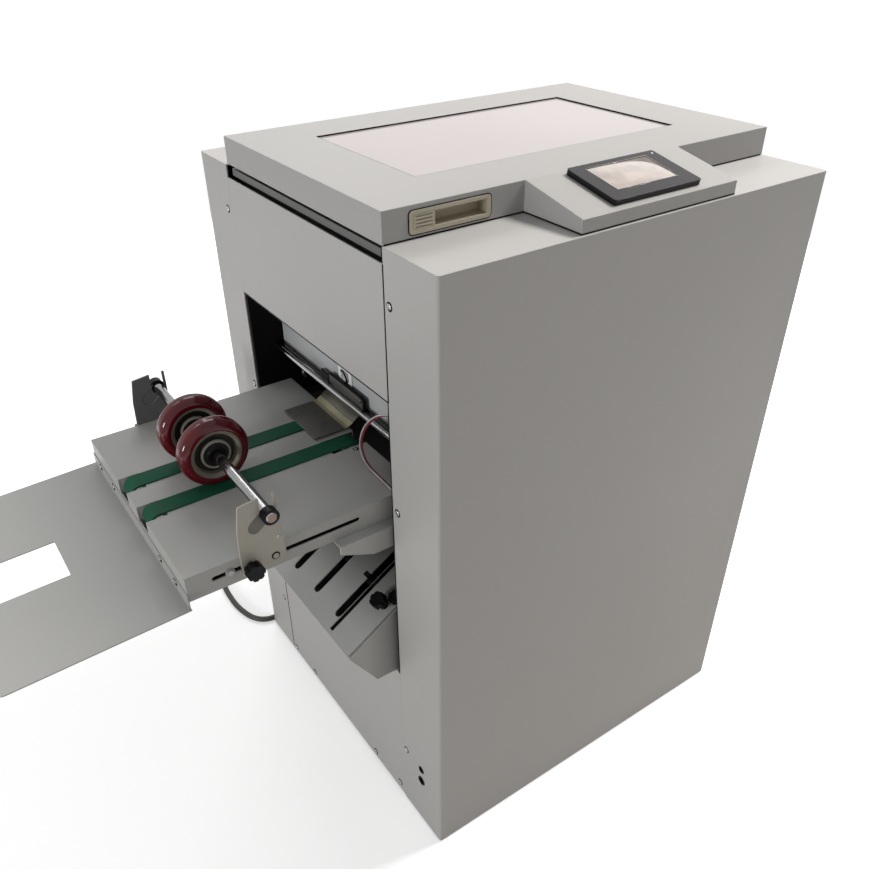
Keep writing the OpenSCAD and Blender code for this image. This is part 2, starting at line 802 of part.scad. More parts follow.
module chute() {
    groove_s = [3, bar_ss[0] - bar_t];
    grooves = [chute_y[0] + lip_t, chute_y[0] + lip_t + lip_gap + sheet_t];
    end_y = chute_y + [1, -1] * lip_t / 2;
    end_n = (lower_panel_top - chute_low) / cos(chute_angle) + 1;
    floor_z = from_to(lower_panel_top, 7, 9);
    floor_n = (floor_z[0] - chute_low) / cos(chute_angle);
    color("lightgray") {
        on_chute() {
            difference() {
                box([0, chute_l], chute_y, [-chute_t, 0]);
                translate([0, 0, -chute_t - eps]) linear_extrude(chute_t + 2 * eps) {
                    for (y = slot_ys)
                        slot([slot_start + slot_w / 2, y], [slot_start + slot_l - slot_w / 2, y], slot_w / 2);
                    rect([thin_slot_start, slot_start + slot_l], around(thin_slot_y, thin_slot_w / 2));
                    rect(around(fold_s, knife_slot / 2), around(y_mid, knife_y + knife_slot / 2));
                    for (y = head_ys)
                        rect(around(stitch_s, clinch_t / 2 + clinch_gap),
                             around(y, clinch_w / 2 + clinch_gap));
                    for (y = grooves) {
                        rect(groove_s, [y, y + lip_gap]);
                        rect(groove_s, [2 * y_mid - y - lip_gap, 2 * y_mid - y]);
                    }
                }
            }
            box([0, chute_t], end_y, [end_n, -chute_t / 2]);
            for (p = [knob_low_pt, knob_high_pt])
                translate([p[0], p[1], -chute_t / 2]) cylinder(h = chute_t / 2 + weld_stud, r = stud_r);
        }
        chute_side();
        other_side() chute_side();
        box([chute_pt(0, floor_n).x + 1, wall_in - 15], chute_y + [1, -1] * lip_t / 2, floor_z);
    }
}

module paper_stop() {
    bar_y = [slot_ys[0] - slot_w, slot_ys[4] + slot_w];
    bar_top = -chute_t - run_gap;
    color("dimgray") on_chute() {
        box(around(stop_s, stop_bar_w / 2), bar_y, [bar_top - stop_bar_h, bar_top]);
        for (y = slot_ys)
            box(around(stop_s, finger_t / 2), around(y, finger_w / 2), [bar_top - eps, stop_reach]);
    }
}

module chute_knob(p) {
    r = chute_knob_r * p[4];
    color("black") on_chute() translate([p[0], p[1], run_gap]) difference() {
        star_knob(r, p[3], p[2], r * 0.55);
        translate([0, 0, -eps]) cylinder(h = weld_stud + eps, r = stud_r + fit_gap);
    }
}

module chute_knob_low() {
    chute_knob(knob_low_pt);
}

module chute_knob_high() {
    chute_knob(knob_high_pt);
}

// Fold unit

module fold_roller(at) {
    rod_y(at, [y_f1 + fold_side, y_r0 - fold_side], fold_r);
    rod_y(at, [gear_y[0], y_r1 + fold_over], fold_shaft_r);
}

module fold_roller_upper() {
    color("gray") fold_roller(fold_up);
}

module fold_roller_lower() {
    color("gray") fold_roller(fold_dn);
}

module spur_gear(at, teeth, phase, bore) {
    plate_y(gear_y) translate(at) difference() {
        gear_2d(teeth, phase);
        circle(bore + fit_gap);
    }
}

module fold_gear_upper() {
    color("goldenrod") spur_gear(fold_up, fold_teeth, phase_up, fold_shaft_r);
}

module fold_gear_lower() {
    color("goldenrod") spur_gear(fold_dn, fold_teeth, phase_dn, fold_shaft_r);
}

module motor_pinion() {
    color("gray") {
        plate_y(gear_y) translate(pinion_at) gear_2d(pinion_teeth, phase_pinion);
        rod_y(pinion_at, [gear_y[0] - 25, gear_y[1]], pinion_shaft_r);
    }
}

module main_motor() {
    post_pts = [[-1, -1], [1, -1], [-1, 1]];
    flange = motor_post + motor_post_r + 3;
    color("dimgray") difference() {
        union() {
            rod_y(pinion_at, motor_y, motor_r);
            plate_y([motor_y[1] - motor_flange, motor_y[1]]) translate(pinion_at)
                rect([-flange, flange], [-flange, flange]);
            for (p = post_pts) rod_y(pinion_at + p * motor_post, [motor_y[1] - eps, y_f0], motor_post_r);
        }
        rod_y(pinion_at, [motor_y[1] - motor_bore, motor_y[1] + eps], pinion_shaft_r + fit_gap);
    }
}

module fold_knife() {
    color("lightsteelblue") on_chute() {
        box(around(fold_s, knife_t / 2), around(y_mid, knife_y), knife_n);
        box(around(fold_s, knife_bar_w / 2), inside_y + [run_gap, -run_gap],
            [knife_n[0] - knife_bar_h, knife_n[0]]);
    }
}

// Stitching

module head_rail() {
    color("lightgray") on_chute() box(around(stitch_s, rail_w / 2), inside_y, rail_n);
}

module stitch_head(y) {
    rail_clear = [-run_gap, run_gap];
    wide = around(y, head_w / 2);
    nose = around(y, head_w / 3);
    color("slategray") on_chute() difference() {
        union() {
            box(around(stitch_s, nose_s / 2), nose, [head_n[0], head_n[1] + eps]);
            box(around(stitch_s, head_s / 2), wide, [head_n[1], head_n[2]]);
        }
        box(around(stitch_s, rail_w / 2) + rail_clear, wide + [-eps, eps], rail_n + rail_clear);
    }
}

module stitch_head_front() {
    stitch_head(head_ys[0]);
}

module stitch_head_rear() {
    stitch_head(head_ys[1]);
}

module clincher_bar() {
    color("gray") on_chute() {
        box(around(stitch_s, clinch_s / 2), inside_y, clinch_n);
        for (y = head_ys)
            box(around(stitch_s, clinch_t / 2), around(y, clinch_w / 2), [clinch_n[1] - eps, 0]);
    }
}

module spool_axle() {
    color("silver") rod_y(spool_at, inside_y, spool_axle_r);
}

module wire_spool(y) {
    half = spool_w / 2;
    color("orange") translate([spool_at.x, y, spool_at.y]) rotate([-90, 0, 0]) rotate_extrude()
        difference() {
            rect([spool_axle_r + fit_gap, spool_r], [-half, half]);
            rect([drum_r, spool_r + eps], [spool_flange - half, half - spool_flange]);
        }
}

module wire_spool_front() {
    wire_spool(head_ys[0]);
}

module wire_spool_rear() {
    wire_spool(head_ys[1]);
}

// Booklet exit

// Inner plate with the curved deflector over the fold rollers, one bent sheet
module inner_plate() {
    bend_mid = [bend_x, deflect_z - exit_bend_r];
    color("lightgray") plate_y(inside_y) {
        rect([inner_x, inner_x + inner_t], [inner_low, inner_high]);
        rect([inner_x, bend_x], [deflect_z, deflect_z + inner_t]);
        translate(bend_mid) difference() {
            circle(exit_bend_r + inner_t);
            circle(exit_bend_r);
            rotate(20) rect(around(0, 2 * exit_bend_r), [-4 * exit_bend_r, 0]);
            rect([-2 * exit_bend_r, 0], around(0, 2 * exit_bend_r));
        }
    }
}

// A point at a distance x along the table, over the flap's under side
function flap_pt(x, h) = [x, flap_z + max(0, x - flap_bend) * tan(flap_angle) + h];

module exit_rods() {
    clip_t = 3;
    color("silver") {
        rod_y(exit_rod_at, inside_y, exit_rod_r);
        box(exit_rail_x, inside_y, exit_rail_z);
        plate_x([exit_rail_x[1] - clip_t, exit_rail_x[1]])
            round_rect(exit_clip_y, from_to(exit_rail_z[1], -2 * exit_clip_r, 13), exit_clip_r);
        plate_y(inside_y) polygon([
            flap_pt(exit_bar_x[0], 0), flap_pt(exit_bar_x[0], -exit_bar_h),
            flap_pt(exit_bar_x[1], -exit_bar_h), flap_pt(exit_bar_x[1], 0)
        ]);
    }
}

module exit_flap() {
    color("darkgray") plate_y(flap_y) polygon([
        flap_pt(flap_x[0], 0), flap_pt(flap_bend, 0), flap_pt(flap_x[1], 0),
        flap_pt(flap_x[1], flap_t), flap_pt(flap_bend, flap_t), flap_pt(flap_x[0], flap_t)
    ]);
}

module sensor_lead() {
    color("firebrick") tube(smooth(sensor_path, 3), sensor_d / 2, 8, [1, 0, 0]);
}

// Delivery table

module belt_cuts() {
    for (y = belt_ys) {
        box([table_x[0] - eps, idler_x + cut_reach], around(y, cut_w / 2), [end_notch_z, table_top + eps]);
        box([drive_x - drive_cut, table_x[1] + eps], around(y, cut_w / 2), [end_notch_z, table_top + eps]);
    }
}

module roller_hangers() {
    idler_plate = [table_x[0] + table_t / 2, idler_x + hanger_w / 2];
    top = table_top - table_t + 0.5;
    for (y = belt_ys, side = [-1, 1]) {
        y0 = y + side * hanger_y + (side > 0 ? 0 : -hanger_t);
        box(idler_plate, [y0, y0 + hanger_t], [table_low + table_t, top]);
        box(around(drive_x, hanger_w / 2), [y0, y0 + hanger_t], [roller_z - axle_r - 4, top]);
    }
}

module delivery_table() {
    color("lightgray") difference() {
        union() {
            difference() {
                box(table_x, table_y, [table_low, table_top]);
                box(table_x + [table_t, -table_t], table_y + [table_t, -table_t],
                    [table_low - eps, table_top - table_t]);
                belt_cuts();
                plate_y(table_y + [-eps, eps])
                    slot([side_slot_x[0] + side_slot_h / 2, side_slot_z],
                         [side_slot_x[1] - side_slot_h / 2, side_slot_z], side_slot_h / 2);
            }
            roller_hangers();
        }
        for (x = [idler_x, drive_x]) rod_y([x, roller_z], table_y + [20, -20], axle_r + fit_gap);
    }
}

module table_support() {
    x = [-support_out, support_in];
    outline = [
        [x[0], table_low], [x[0], table_low - support_nose], [x[0] + support_cut, table_low - support_h],
        [x[1], table_low - support_h], [x[1], table_low]
    ];
    plate_y([y_f1, y_f1 + table_t]) polygon(outline);
    box(x, [y_f1, table_y[0] + support_lap], [table_low - table_t, table_low]);
}

module table_supports() {
    color("lightgray") {
        table_support();
        other_side() table_support();
    }
}

module belts() {
    ends = [[idler_x, roller_z], [drive_x, roller_z]];
    color("darkgreen") for (y = belt_ys) plate_y(around(y, belt_w / 2)) difference() {
        slot(ends[0], ends[1], belt_in_r + belt_t);
        slot(ends[0], ends[1], belt_in_r);
    }
}

module belt_roller(x, far_end) {
    for (y = belt_ys) rod_y([x, roller_z], around(y, pulley_w / 2), pulley_r);
    rod_y([x, roller_z], [belt_ys[0] - hanger_y - hanger_t - 2, far_end], axle_r);
}

module belt_drive_roller() {
    color("gray") belt_roller(drive_x, belt_motor_y + 14);
}

module belt_idler_roller() {
    color("gray") belt_roller(idler_x, belt_ys[1] + hanger_y + hanger_t + 2);
}

module belt_motor() {
    at = [drive_x, roller_z];
    y = [belt_motor_y, belt_motor_y + belt_motor_l];
    color("dimgray") difference() {
        union() {
            rod_y(at, y, belt_motor_r);
            box(around(drive_x, 8), y + [10, -10], [roller_z, table_top - table_t]);
        }
        rod_y(at, [y[0] - eps, y[0] + 15], axle_r + fit_gap);
    }
}

module tray() {
    color("lightgray") {
        box([table_x[0] - tray_t, table_x[0]], tray_y + [4, -4], [tray_z - tray_t, tray_z + tray_flange_h]);
        translate([table_x[0], 0, tray_z]) rotate([0, -tray_tilt, 0]) translate([0, 0, -tray_t])
            linear_extrude(tray_t) difference() {
                union() {
                    round_rect([-tray_l, 0], tray_y, tray_r);
                    rect([-2 * tray_r, 0], tray_y);
                }
                rect([-tray_l - eps, -notch_start], around(y_mid, notch_w / 2));
            }
    }
}

// Press wheels

module shaft_bracket() {
    half = bracket_slot_w / 2;
    outline = [
        [-42, bracket_low], [-43.5, bracket_low + 28], [-42, bracket_low + 68], [-36.5, bracket_top - 3],
        [-9, bracket_top], [half + 4, bracket_top], [half + 4, shaft_z - 20], [half + 8, bracket_low + 35],
        [half + 8.5, bracket_low + 4], [half + 4, bracket_low]
    ];
    plate_y(bracket_y) difference() {
        translate([shaft_x, 0]) polygon(outline);
        slot([shaft_x - 18, shaft_z - 15], [shaft_x, shaft_z], half);
        rect([shaft_x - half, shaft_x + half], [shaft_z, bracket_top + eps]);
    }
    rod_y([shaft_x + pin_dx, side_slot_z], [bracket_y[0], nut_y[1] - 0.5], stud_r);
    rod_y([shaft_x + pin_dx, side_slot_z], from_to(bracket_y[0], -1.5, 0.5), stud_r + 1);
    rod_y([shaft_x + knob_dx, side_slot_z], [bracket_y[0] - clamp_stud, nut_y[1] - 0.5], stud_r);
    box(from_to(shaft_x, -42, 12), nut_y, around(side_slot_z, 6));
}

module shaft_bracket_front() {
    color("tan") shaft_bracket();
}

module shaft_bracket_rear() {
    color("tan") other_side() shaft_bracket();
}

module bracket_knob() {
    translate([shaft_x + knob_dx, bracket_y[0] - run_gap, side_slot_z]) rotate([90, 0, 0]) difference() {
        star_knob(knob_r, knob_head, knob_skirt, knob_r * 0.5);
        translate([0, 0, -eps]) cylinder(h = clamp_stud + eps, r = stud_r + fit_gap);
    }
}

module bracket_knob_front() {
    color("black") bracket_knob();
}

module bracket_knob_rear() {
    color("black") other_side() bracket_knob();
}

module press_shaft() {
    half = y_mid - collar_y[0] + shaft_over;
    chamfer = 1.5;
    color("silver") on_shaft(y_mid) rotate_extrude() polygon([
        [0, -half], [shaft_r - chamfer, -half], [shaft_r, chamfer - half], [shaft_r, half - chamfer],
        [shaft_r - chamfer, half], [0, half]
    ]);
}

module shaft_collar() {
    difference() {
        rod_y([shaft_x, shaft_z], collar_y, collar_r);
        rod_y([shaft_x, shaft_z], collar_y + [-eps, eps], shaft_r + fit_gap);
    }
}

module shaft_collars() {
    color("black") {
        shaft_collar();
        other_side() shaft_collar();
    }
}

module on_shaft(y) {
    translate([shaft_x, y, shaft_z]) rotate([-90, 0, 0]) children();
}

// A tyre's section: a tread with round shoulders over the core
module wheel_tyre(y) {
    half = wheel_w / 2;
    tyre_in = core_r + fit_gap;
    color("darkred") on_shaft(y) rotate_extrude() difference() {
        union() {
            rect([tyre_in, wheel_r - shoulder_r], [-half, half]);
            rect([tyre_in, wheel_r], [shoulder_r - half, half - shoulder_r]);
            for (s = [-1, 1]) translate([wheel_r - shoulder_r, s * (half - shoulder_r)]) circle(shoulder_r);
        }
        rect([0, tyre_in], [-wheel_w, wheel_w]);
    }
}

// A core's section: stepped rings between the rim and the hub
module wheel_core(y) {
    half = wheel_w / 2;
    color("tan") on_shaft(y) rotate_extrude() {
        difference() {
            rect([core_r - rim_w, core_r], [1 - half, half - 1]);
            for (s = [-1, 1]) translate([core_r - rim_w, s * (half - 1)]) rotate(45)
                square(rim_chamfer * sqrt(2), center = true);
        }
        rect([hub_r + boss_w - 1, core_r - rim_w + 1], around(0, web_t / 2));
        rect([hub_r, hub_r + boss_w], [3 - half, half - 3]);
        rect([shaft_r + fit_gap, hub_r + 1], [2 - half, half - 2]);
    }
}

module wheel_tyre_front() {
    wheel_tyre(wheel_ys[0]);
}

module wheel_core_front() {
    wheel_core(wheel_ys[0]);
}

module wheel_tyre_rear() {
    wheel_tyre(wheel_ys[1]);
}

module wheel_core_rear() {
    wheel_core(wheel_ys[1]);
}

// Lid

module console_profile(inset) {
    drop = inset / cos(console_slope);
    polygon([
        [lid_y0 + eps, lid_z0 - (inset > 0 ? eps : 0)], [lid_y0 + eps, lid_z1 - drop],
        [lid_y0, lid_z1 - drop], [console_y0 + inset, console_z1 - drop],
        [console_y0 + inset, lid_z0 - (inset > 0 ? eps : 0)]
    ]);
}

module lid_shell() {
    cup_x = recess_x + (latch_wall + fit_gap) * [-1, 1];
    cup_z = recess_z + (latch_wall + fit_gap) * [-1, 1];
    color("silver") difference() {
        union() {
            box([0, lid_x1], [lid_y0, lid_y1], [lid_z0, lid_z1]);
            plate_x([console_x, console_x + console_w]) console_profile(0);
        }
        box([lid_t, lid_x1 - lid_t], [lid_y0 + lid_t, lid_y1 - lid_t], [lid_z0 - eps, lid_z1 - lid_t]);
        intersection() {
            plate_x([console_x + lid_t, console_x + console_w - lid_t]) console_profile(lid_t);
            box([0, cab_w], [0, lid_y0], [0, 2 * cab_h]);
        }
        box(win_x, win_y, [lid_z1 - lid_t - eps, lid_z1 + eps]);
        box(cup_x, [lid_y0 - eps, lid_y0 + lid_t + eps], cup_z);
    }
}

module lid_window() {
    color("gainsboro", 0.8)
        box(win_x + pane_lap * [-1, 1], win_y + pane_lap * [-1, 1], from_to(lid_z1 - lid_t, -pane_t, 0));
}

module lid_latch() {
    cup_x = recess_x + latch_wall * [-1, 1];
    cup_z = recess_z + latch_wall * [-1, 1];
    color("wheat") difference() {
        union() {
            plate_y([lid_y0 - latch_lip, lid_y0])
                round_rect([latch_x, latch_x + latch_w], [latch_z0, latch_z0 + latch_h], latch_r);
            box(cup_x, [lid_y0 - eps, lid_y0 + latch_depth + latch_wall], cup_z);
        }
        box(recess_x, [lid_y0 - latch_lip - eps, lid_y0 + latch_depth], recess_z);
    }
}

module latch_slider() {
    x0 = recess_x[0] + slider_play;
    z = recess_z + slider_play * [1, -1];
    pitch = (z[1] - z[0]) / slider_ribs;
    color("wheat") difference() {
        box([x0, x0 + slider_w], [lid_y0 - latch_lip, lid_y0 + latch_depth - slider_play], z);
        for (i = [0:slider_ribs - 1])
            box([x0 + 3, x0 + slider_w - 3], from_to(lid_y0, -latch_lip - eps, 0.6),
                around(z[0] + (i + 0.5) * pitch, 0.7));
    }
}

module touch_screen() {
    color("black") on_console() difference() {
        linear_extrude(bezel_t) round_rect([-1, 1] * bezel_w / 2, [-1, 1] * bezel_l / 2, bezel_r);
        box([-1, 1] * screen_w / 2, around(screen_off, screen_l / 2), [bezel_t - screen_t, bezel_t + eps]);
    }
}

module hinge_brackets() {
    leaf_low = frame_top - leaf_drop;
    color("silver") for (x = hinge_xs) difference() {
        union() {
            rod_x(hinge_y, hinge_z, around(x, hinge_mid / 2), hinge_r);
            box(around(x, hinge_mid / 2), [y_r0 - leaf_t, y_r0], [leaf_low, hinge_z]);
        }
        rod_x(hinge_y, hinge_z, around(x, hinge_l), hinge_pin_r + fit_gap);
    }
}

module hinge_leaves() {
    knuckle = (hinge_l - hinge_mid) / 2 - run_gap;
    leaf_top = hinge_z + leaf_rise;
    color("silver") for (x = hinge_xs) {
        rod_x(hinge_y, hinge_z, around(x, hinge_l / 2), hinge_pin_r);
        for (x0 = [x - hinge_l / 2, x + hinge_l / 2 - knuckle]) {
            rod_x(hinge_y, hinge_z, [x0, x0 + knuckle], hinge_r);
            box([x0, x0 + knuckle], [lid_y1, lid_y1 + leaf_t], [hinge_z, leaf_top]);
        }
        box(around(x, hinge_l / 2), [lid_y1, lid_y1 + leaf_t], [hinge_z + hinge_r + 1.5, leaf_top]);
    }
}

// Mains lead

module lead_gland() {
    hole_r = cord_d / 2 + 4;
    nut_r = hole_r + 6;
    nut_l = 8;
    body_l = 20;
    color("black") translate([gland_x, cab_d, gland_z]) rotate([-90, 0, 0]) {
        translate([0, 0, -sheet - 4]) cylinder(h = sheet + 4 + eps, r = hole_r);
        cylinder(h = nut_l, r = nut_r, $fn = 6);
        cylinder(h = body_l, r = hole_r + 2);
        translate([0, 0, body_l]) cylinder(h = gland_l - body_l, r1 = hole_r + 2, r2 = cord_d / 2 + 1);
    }
}

module mains_lead() {
    color("darkslategray") tube(smooth(mains_path, 3), cord_d / 2, 10, [0, 0, 1]);
}

// The coil's centre line after t turns: in along the lower layer, up, and out along the upper layer
function coil_point(t) = let (
    half = 0.5,
    climb = max(0, min(1, (t - coil_turns) / half)),
    r = t < coil_turns ? coil_in + coil_pitch * (coil_turns - t)
        : t < coil_turns + half ? coil_in - coil_dip * sin(180 * climb)
        : coil_in + coil_pitch * (t - coil_turns - half),
    a = 90 - 360 * t
) [coil_mid.x + r * cos(a), coil_mid.y + r * sin(a), cord_d / 2 + coil_pitch * climb];
coil_total = 2 * coil_turns + 0.5;
coil_steps = round(coil_total * loop_rings);
coil_line = [for (i = [0:coil_steps]) coil_point(i * coil_total / coil_steps)];
coil_exit = coil_line[coil_steps] + [coil_tail, 0, 0];
coil_path = concat([coil_line[0] - [cord_d, 0, 0]], coil_line, [coil_exit]);
coil_least = min([
    for (i = [0:coil_steps - 14], j = [i + 14:coil_steps]) norm(coil_line[i] - coil_line[j])
]);
echo(str("least gap in the coil: ", coil_least - cord_d, " mm"));

module mains_coil() {
    color("darkslategray") tube(coil_path, cord_d / 2, 6, [0, 0, 1]);
}

module mains_plug() {
    pin_r = 2.4;
    pin_l = 19;
    pin_pitch = 19;
    color("black") translate(coil_exit) rotate([0, 90, 0]) {
        cylinder(h = plug_cone_l, r1 = cord_d / 2 + 1.5, r2 = cord_d / 2 + 4);
        translate([0, 0, plug_cone_l]) cylinder(h = plug_l, r = plug_r);
        for (s = [-1, 1]) translate([0, s * pin_pitch / 2, plug_cone_l + plug_l - eps])
            cylinder(h = pin_l + eps, r = pin_r);
    }
}

placed() base_plate();
placed() levelling_feet();
placed() front_frame_plate();
placed() rear_frame_plate();
placed() cross_bars();
placed() front_cover();
placed() rear_cover();
placed() left_upper_panel();
placed() left_lower_panel();
placed() right_panel();
placed() main_motor();
placed() motor_pinion();
placed() chute();
placed() paper_stop();
placed() chute_knob_low();
placed() chute_knob_high();
placed() fold_roller_upper();
placed() fold_roller_lower();
placed() fold_gear_upper();
placed() fold_gear_lower();
placed() fold_knife();
placed() head_rail();
placed() stitch_head_front();
placed() stitch_head_rear();
placed() clincher_bar();
placed() spool_axle();
placed() wire_spool_front();
placed() wire_spool_rear();
placed() inner_plate();
placed() exit_rods();
placed() exit_flap();
placed() sensor_lead();
placed() delivery_table();
placed() table_supports();
placed() belts();
placed() belt_drive_roller();
placed() belt_idler_roller();
placed() belt_motor();
placed() tray();
placed() shaft_bracket_front();
placed() shaft_bracket_rear();
placed() press_shaft();
placed() shaft_collars();
placed() wheel_tyre_front();
placed() wheel_core_front();
placed() wheel_tyre_rear();
placed() wheel_core_rear();
placed() bracket_knob_front();
placed() bracket_knob_rear();
placed() lid_shell();
placed() lid_window();
placed() lid_latch();
placed() latch_slider();
placed() touch_screen();
placed() hinge_brackets();
placed() hinge_leaves();
placed() lead_gland();
placed() mains_lead();
placed() mains_coil();
placed() mains_plug();
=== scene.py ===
import json
import math

import bmesh
import bpy
from mathutils import Matrix, Vector


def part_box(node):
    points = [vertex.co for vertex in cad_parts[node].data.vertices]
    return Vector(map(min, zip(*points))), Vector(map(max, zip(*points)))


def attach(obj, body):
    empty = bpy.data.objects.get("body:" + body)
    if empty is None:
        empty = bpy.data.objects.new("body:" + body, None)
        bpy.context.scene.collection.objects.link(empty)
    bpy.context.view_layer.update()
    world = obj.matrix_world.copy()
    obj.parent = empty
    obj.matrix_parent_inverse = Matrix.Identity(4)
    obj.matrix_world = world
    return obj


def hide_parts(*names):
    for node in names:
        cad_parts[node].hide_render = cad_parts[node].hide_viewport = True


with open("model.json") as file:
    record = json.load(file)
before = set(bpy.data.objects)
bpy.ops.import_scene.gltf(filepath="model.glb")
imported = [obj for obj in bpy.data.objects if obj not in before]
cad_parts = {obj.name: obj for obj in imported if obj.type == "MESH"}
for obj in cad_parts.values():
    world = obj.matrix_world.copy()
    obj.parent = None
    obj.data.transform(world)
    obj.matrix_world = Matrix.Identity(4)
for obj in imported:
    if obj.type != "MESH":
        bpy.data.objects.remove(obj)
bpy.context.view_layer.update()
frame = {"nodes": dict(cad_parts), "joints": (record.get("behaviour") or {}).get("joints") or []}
nodes = frame["nodes"]
scene = bpy.context.scene
scene.view_settings.view_transform = "Standard"

# Places are in the cabinet's millimetres: x from its left face, y from its front face, z from the floor
MM = 0.001
LEFT, FRONT = (round(side, 6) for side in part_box("front_cover")[0].xy)


def at(x, y, z):
    return Vector((LEFT + x * MM, FRONT + y * MM, z * MM))


def in_cabinet(place):
    """A place of the frame in the cabinet's millimetres, to a thousandth."""
    x, y, z = place
    return Vector(round(side / MM, 3) for side in (x - LEFT, y - FRONT, z))


def node_box(name):
    """A node's lowest and highest corners."""
    return [in_cabinet(corner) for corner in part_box(name)]


def axle(joint_name):
    """A point on a turning joint's axis."""
    return in_cabinet(next(j["pos_m"] for j in frame["joints"] if j["name"] == joint_name))


def grown(span, by):
    """A span from low to high, made longer at both ends."""
    return span[0] - by, span[1] + by


CAB_D = node_box("rear_cover")[1].y
TABLE_LOW, TABLE_HIGH = node_box("delivery_table")
LID_LOW, LID_HIGH = node_box("lid_shell")
SHAFT = axle("wheel_front_spin")
# Outer faces of the shaft brackets' plates
BRACKET_FRONT, BRACKET_REAR = 126.7, 515.3
# Middle height of the slots in the table's sides
SLOT_Z = 625


# Camera at the photograph's angle: turned from straight ahead, tilted down and rolled, in degrees

CAMERA_PLACE = (-462, -662, 1322)
CAMERA_TURN, CAMERA_TILT, CAMERA_ROLL = 34.31, 34.35, -0.62
CAMERA_LENS, CAMERA_SHIFT = 34.77, (0.0036, 0.0345)


def make_camera():
    data = bpy.data.cameras.new("camera")
    data.sensor_width = 36
    data.lens = CAMERA_LENS
    data.shift_x, data.shift_y = CAMERA_SHIFT
    placing = Matrix.Translation(at(*CAMERA_PLACE))
    for angle, axis in ((-CAMERA_TURN, "Z"), (90 - CAMERA_TILT, "X"), (CAMERA_ROLL, "Z")):
        placing = placing @ Matrix.Rotation(math.radians(angle), 4, axis)
    cam = bpy.data.objects.new("camera", data)
    cam.matrix_world = placing
    scene.collection.objects.link(cam)
    scene.camera = cam


make_camera()


# Shader nodes

# Radius to which sharp sheet edges look rounded off, and the rays that find it
EDGE, EDGE_RAYS = 1.4 * MM, 4
# How much lighter paint is painted along edges as a highlight, and the cosines of a full edge and a flat
# face
EDGE_HIGHLIGHT, EDGE_FULL, EDGE_NONE = 0.3, 0.75, 0.99
# Share by which roughness varies in clouds, roughness from grain, and the depth of the raised grain
GLOSS_CLOUD, GLOSS_GRAIN, GRAIN_DEPTH = 0.12, 0.03, 0.2 * MM


def new_material(name, colour, rough, metallic=0.0):
    material = bpy.data.materials.new(name)
    material.use_nodes = True
    tree = material.node_tree
    shader = tree.nodes["Principled BSDF"]
    shader.inputs["Base Color"].default_value = (*colour, 1)
    shader.inputs["Roughness"].default_value = rough
    shader.inputs["Metallic"].default_value = metallic
    return material, tree, shader


def set_gloss(shader, specular=0.5, coat=0.0, coat_rough=0.03):
    shader.inputs["Specular IOR Level"].default_value = specular
    shader.inputs["Coat Weight"].default_value = coat
    shader.inputs["Coat Roughness"].default_value = coat_rough


def add(tree, kind, inputs=None, **settings):
    """A new node; an input is a value or another node's output, by its socket's name or number."""
    node = tree.nodes.new(kind)
    for name, value in settings.items():
        setattr(node, name, value)
    for socket, value in (inputs or {}).items():
        if isinstance(value, bpy.types.NodeSocket):
            tree.links.new(value, node.inputs[socket])
        else:
            node.inputs[socket].default_value = value
    return node


def coords(tree, stretch=(1, 1, 1)):
    place = add(tree, "ShaderNodeTexCoord").outputs["Object"]
    return add(tree, "ShaderNodeMapping", {"Vector": place, "Scale": stretch}).outputs["Vector"]


def noise(tree, where, scale, detail):
    inputs = {"Vector": where, "Scale": scale, "Detail": detail}
    return add(tree, "ShaderNodeTexNoise", inputs).outputs["Fac"]


def wave(tree, where, scale, direction):
    inputs = {"Vector": where, "Scale": scale}
    return add(tree, "ShaderNodeTexWave", inputs, bands_direction=direction).outputs["Fac"]


def spread(tree, value, low, high, start=0.3, end=0.7):
    """From low to high as the value goes from start to end."""
    inputs = {"Value": value, "From Min": start, "From Max": end, "To Min": low, "To Max": high}
    return add(tree, "ShaderNodeMapRange", inputs).outputs["Result"]


def math_node(tree, kind, a, b):
    return add(tree, "ShaderNodeMath", {0: a, 1: b}, operation=kind).outputs["Value"]


def place_value(tree, axis, kind="Object"):
    """The x, y or z of the place in the machine's frame, or of the surface's own normal there."""
    place = add(tree, "ShaderNodeTexCoord").outputs[kind]
    return add(tree, "ShaderNodeSeparateXYZ", {"Vector": place}).outputs[axis]


def within(tree, value, low, high):
    """1 where the value is between low and high, else 0."""
    over = math_node(tree, "GREATER_THAN", value, low)
    return math_node(tree, "MULTIPLY", over, math_node(tree, "LESS_THAN", value, high))


def distance(tree, across, up):
    """How far a point is from 0, from its two coordinates."""
    squares = [math_node(tree, "POWER", side, 2) for side in (across, up)]
    return math_node(tree, "SQRT", math_node(tree, "ADD", *squares), 0)


def two_tone(tree, mask, colour, other):
    """The first colour where the mask is 0 and the other where it is 1."""
    first, second = ((*tone, 1) if isinstance(tone, tuple) else tone for tone in (colour, other))
    return add(tree, "ShaderNodeMix", {0: mask, 6: first, 7: second}, data_type="RGBA").outputs[2]


def toned(tree, colour, mask, other):
    """The colour, and the other one where the mask, if there is one, says so."""
    return two_tone(tree, mask(tree), colour, other) if mask else colour


def tint(tree, shader, colour, shade):
    """The shader's colour, made lighter and darker by shade, which is about 1."""
    node = add(tree, "ShaderNodeVectorMath", {0: colour, "Scale": shade}, operation="SCALE")
    tree.links.new(node.outputs["Vector"], shader.inputs["Base Color"])


def rounded_normal(tree, radius):
    """The surface's normal, with edges rounded off."""
    return add(tree, "ShaderNodeBevel", {"Radius": radius}, samples=EDGE_RAYS).outputs["Normal"]


def bump(tree, shader, height, strength, depth=GRAIN_DEPTH, edge=0.0):
    """A fine raised grain, over edges that are rounded off by the edge radius."""
    inputs = {"Strength": strength, "Distance": depth, "Height": height}
    if edge:
        inputs["Normal"] = rounded_normal(tree, edge)
    node = add(tree, "ShaderNodeBump", inputs)
    tree.links.new(node.outputs["Normal"], shader.inputs["Normal"])


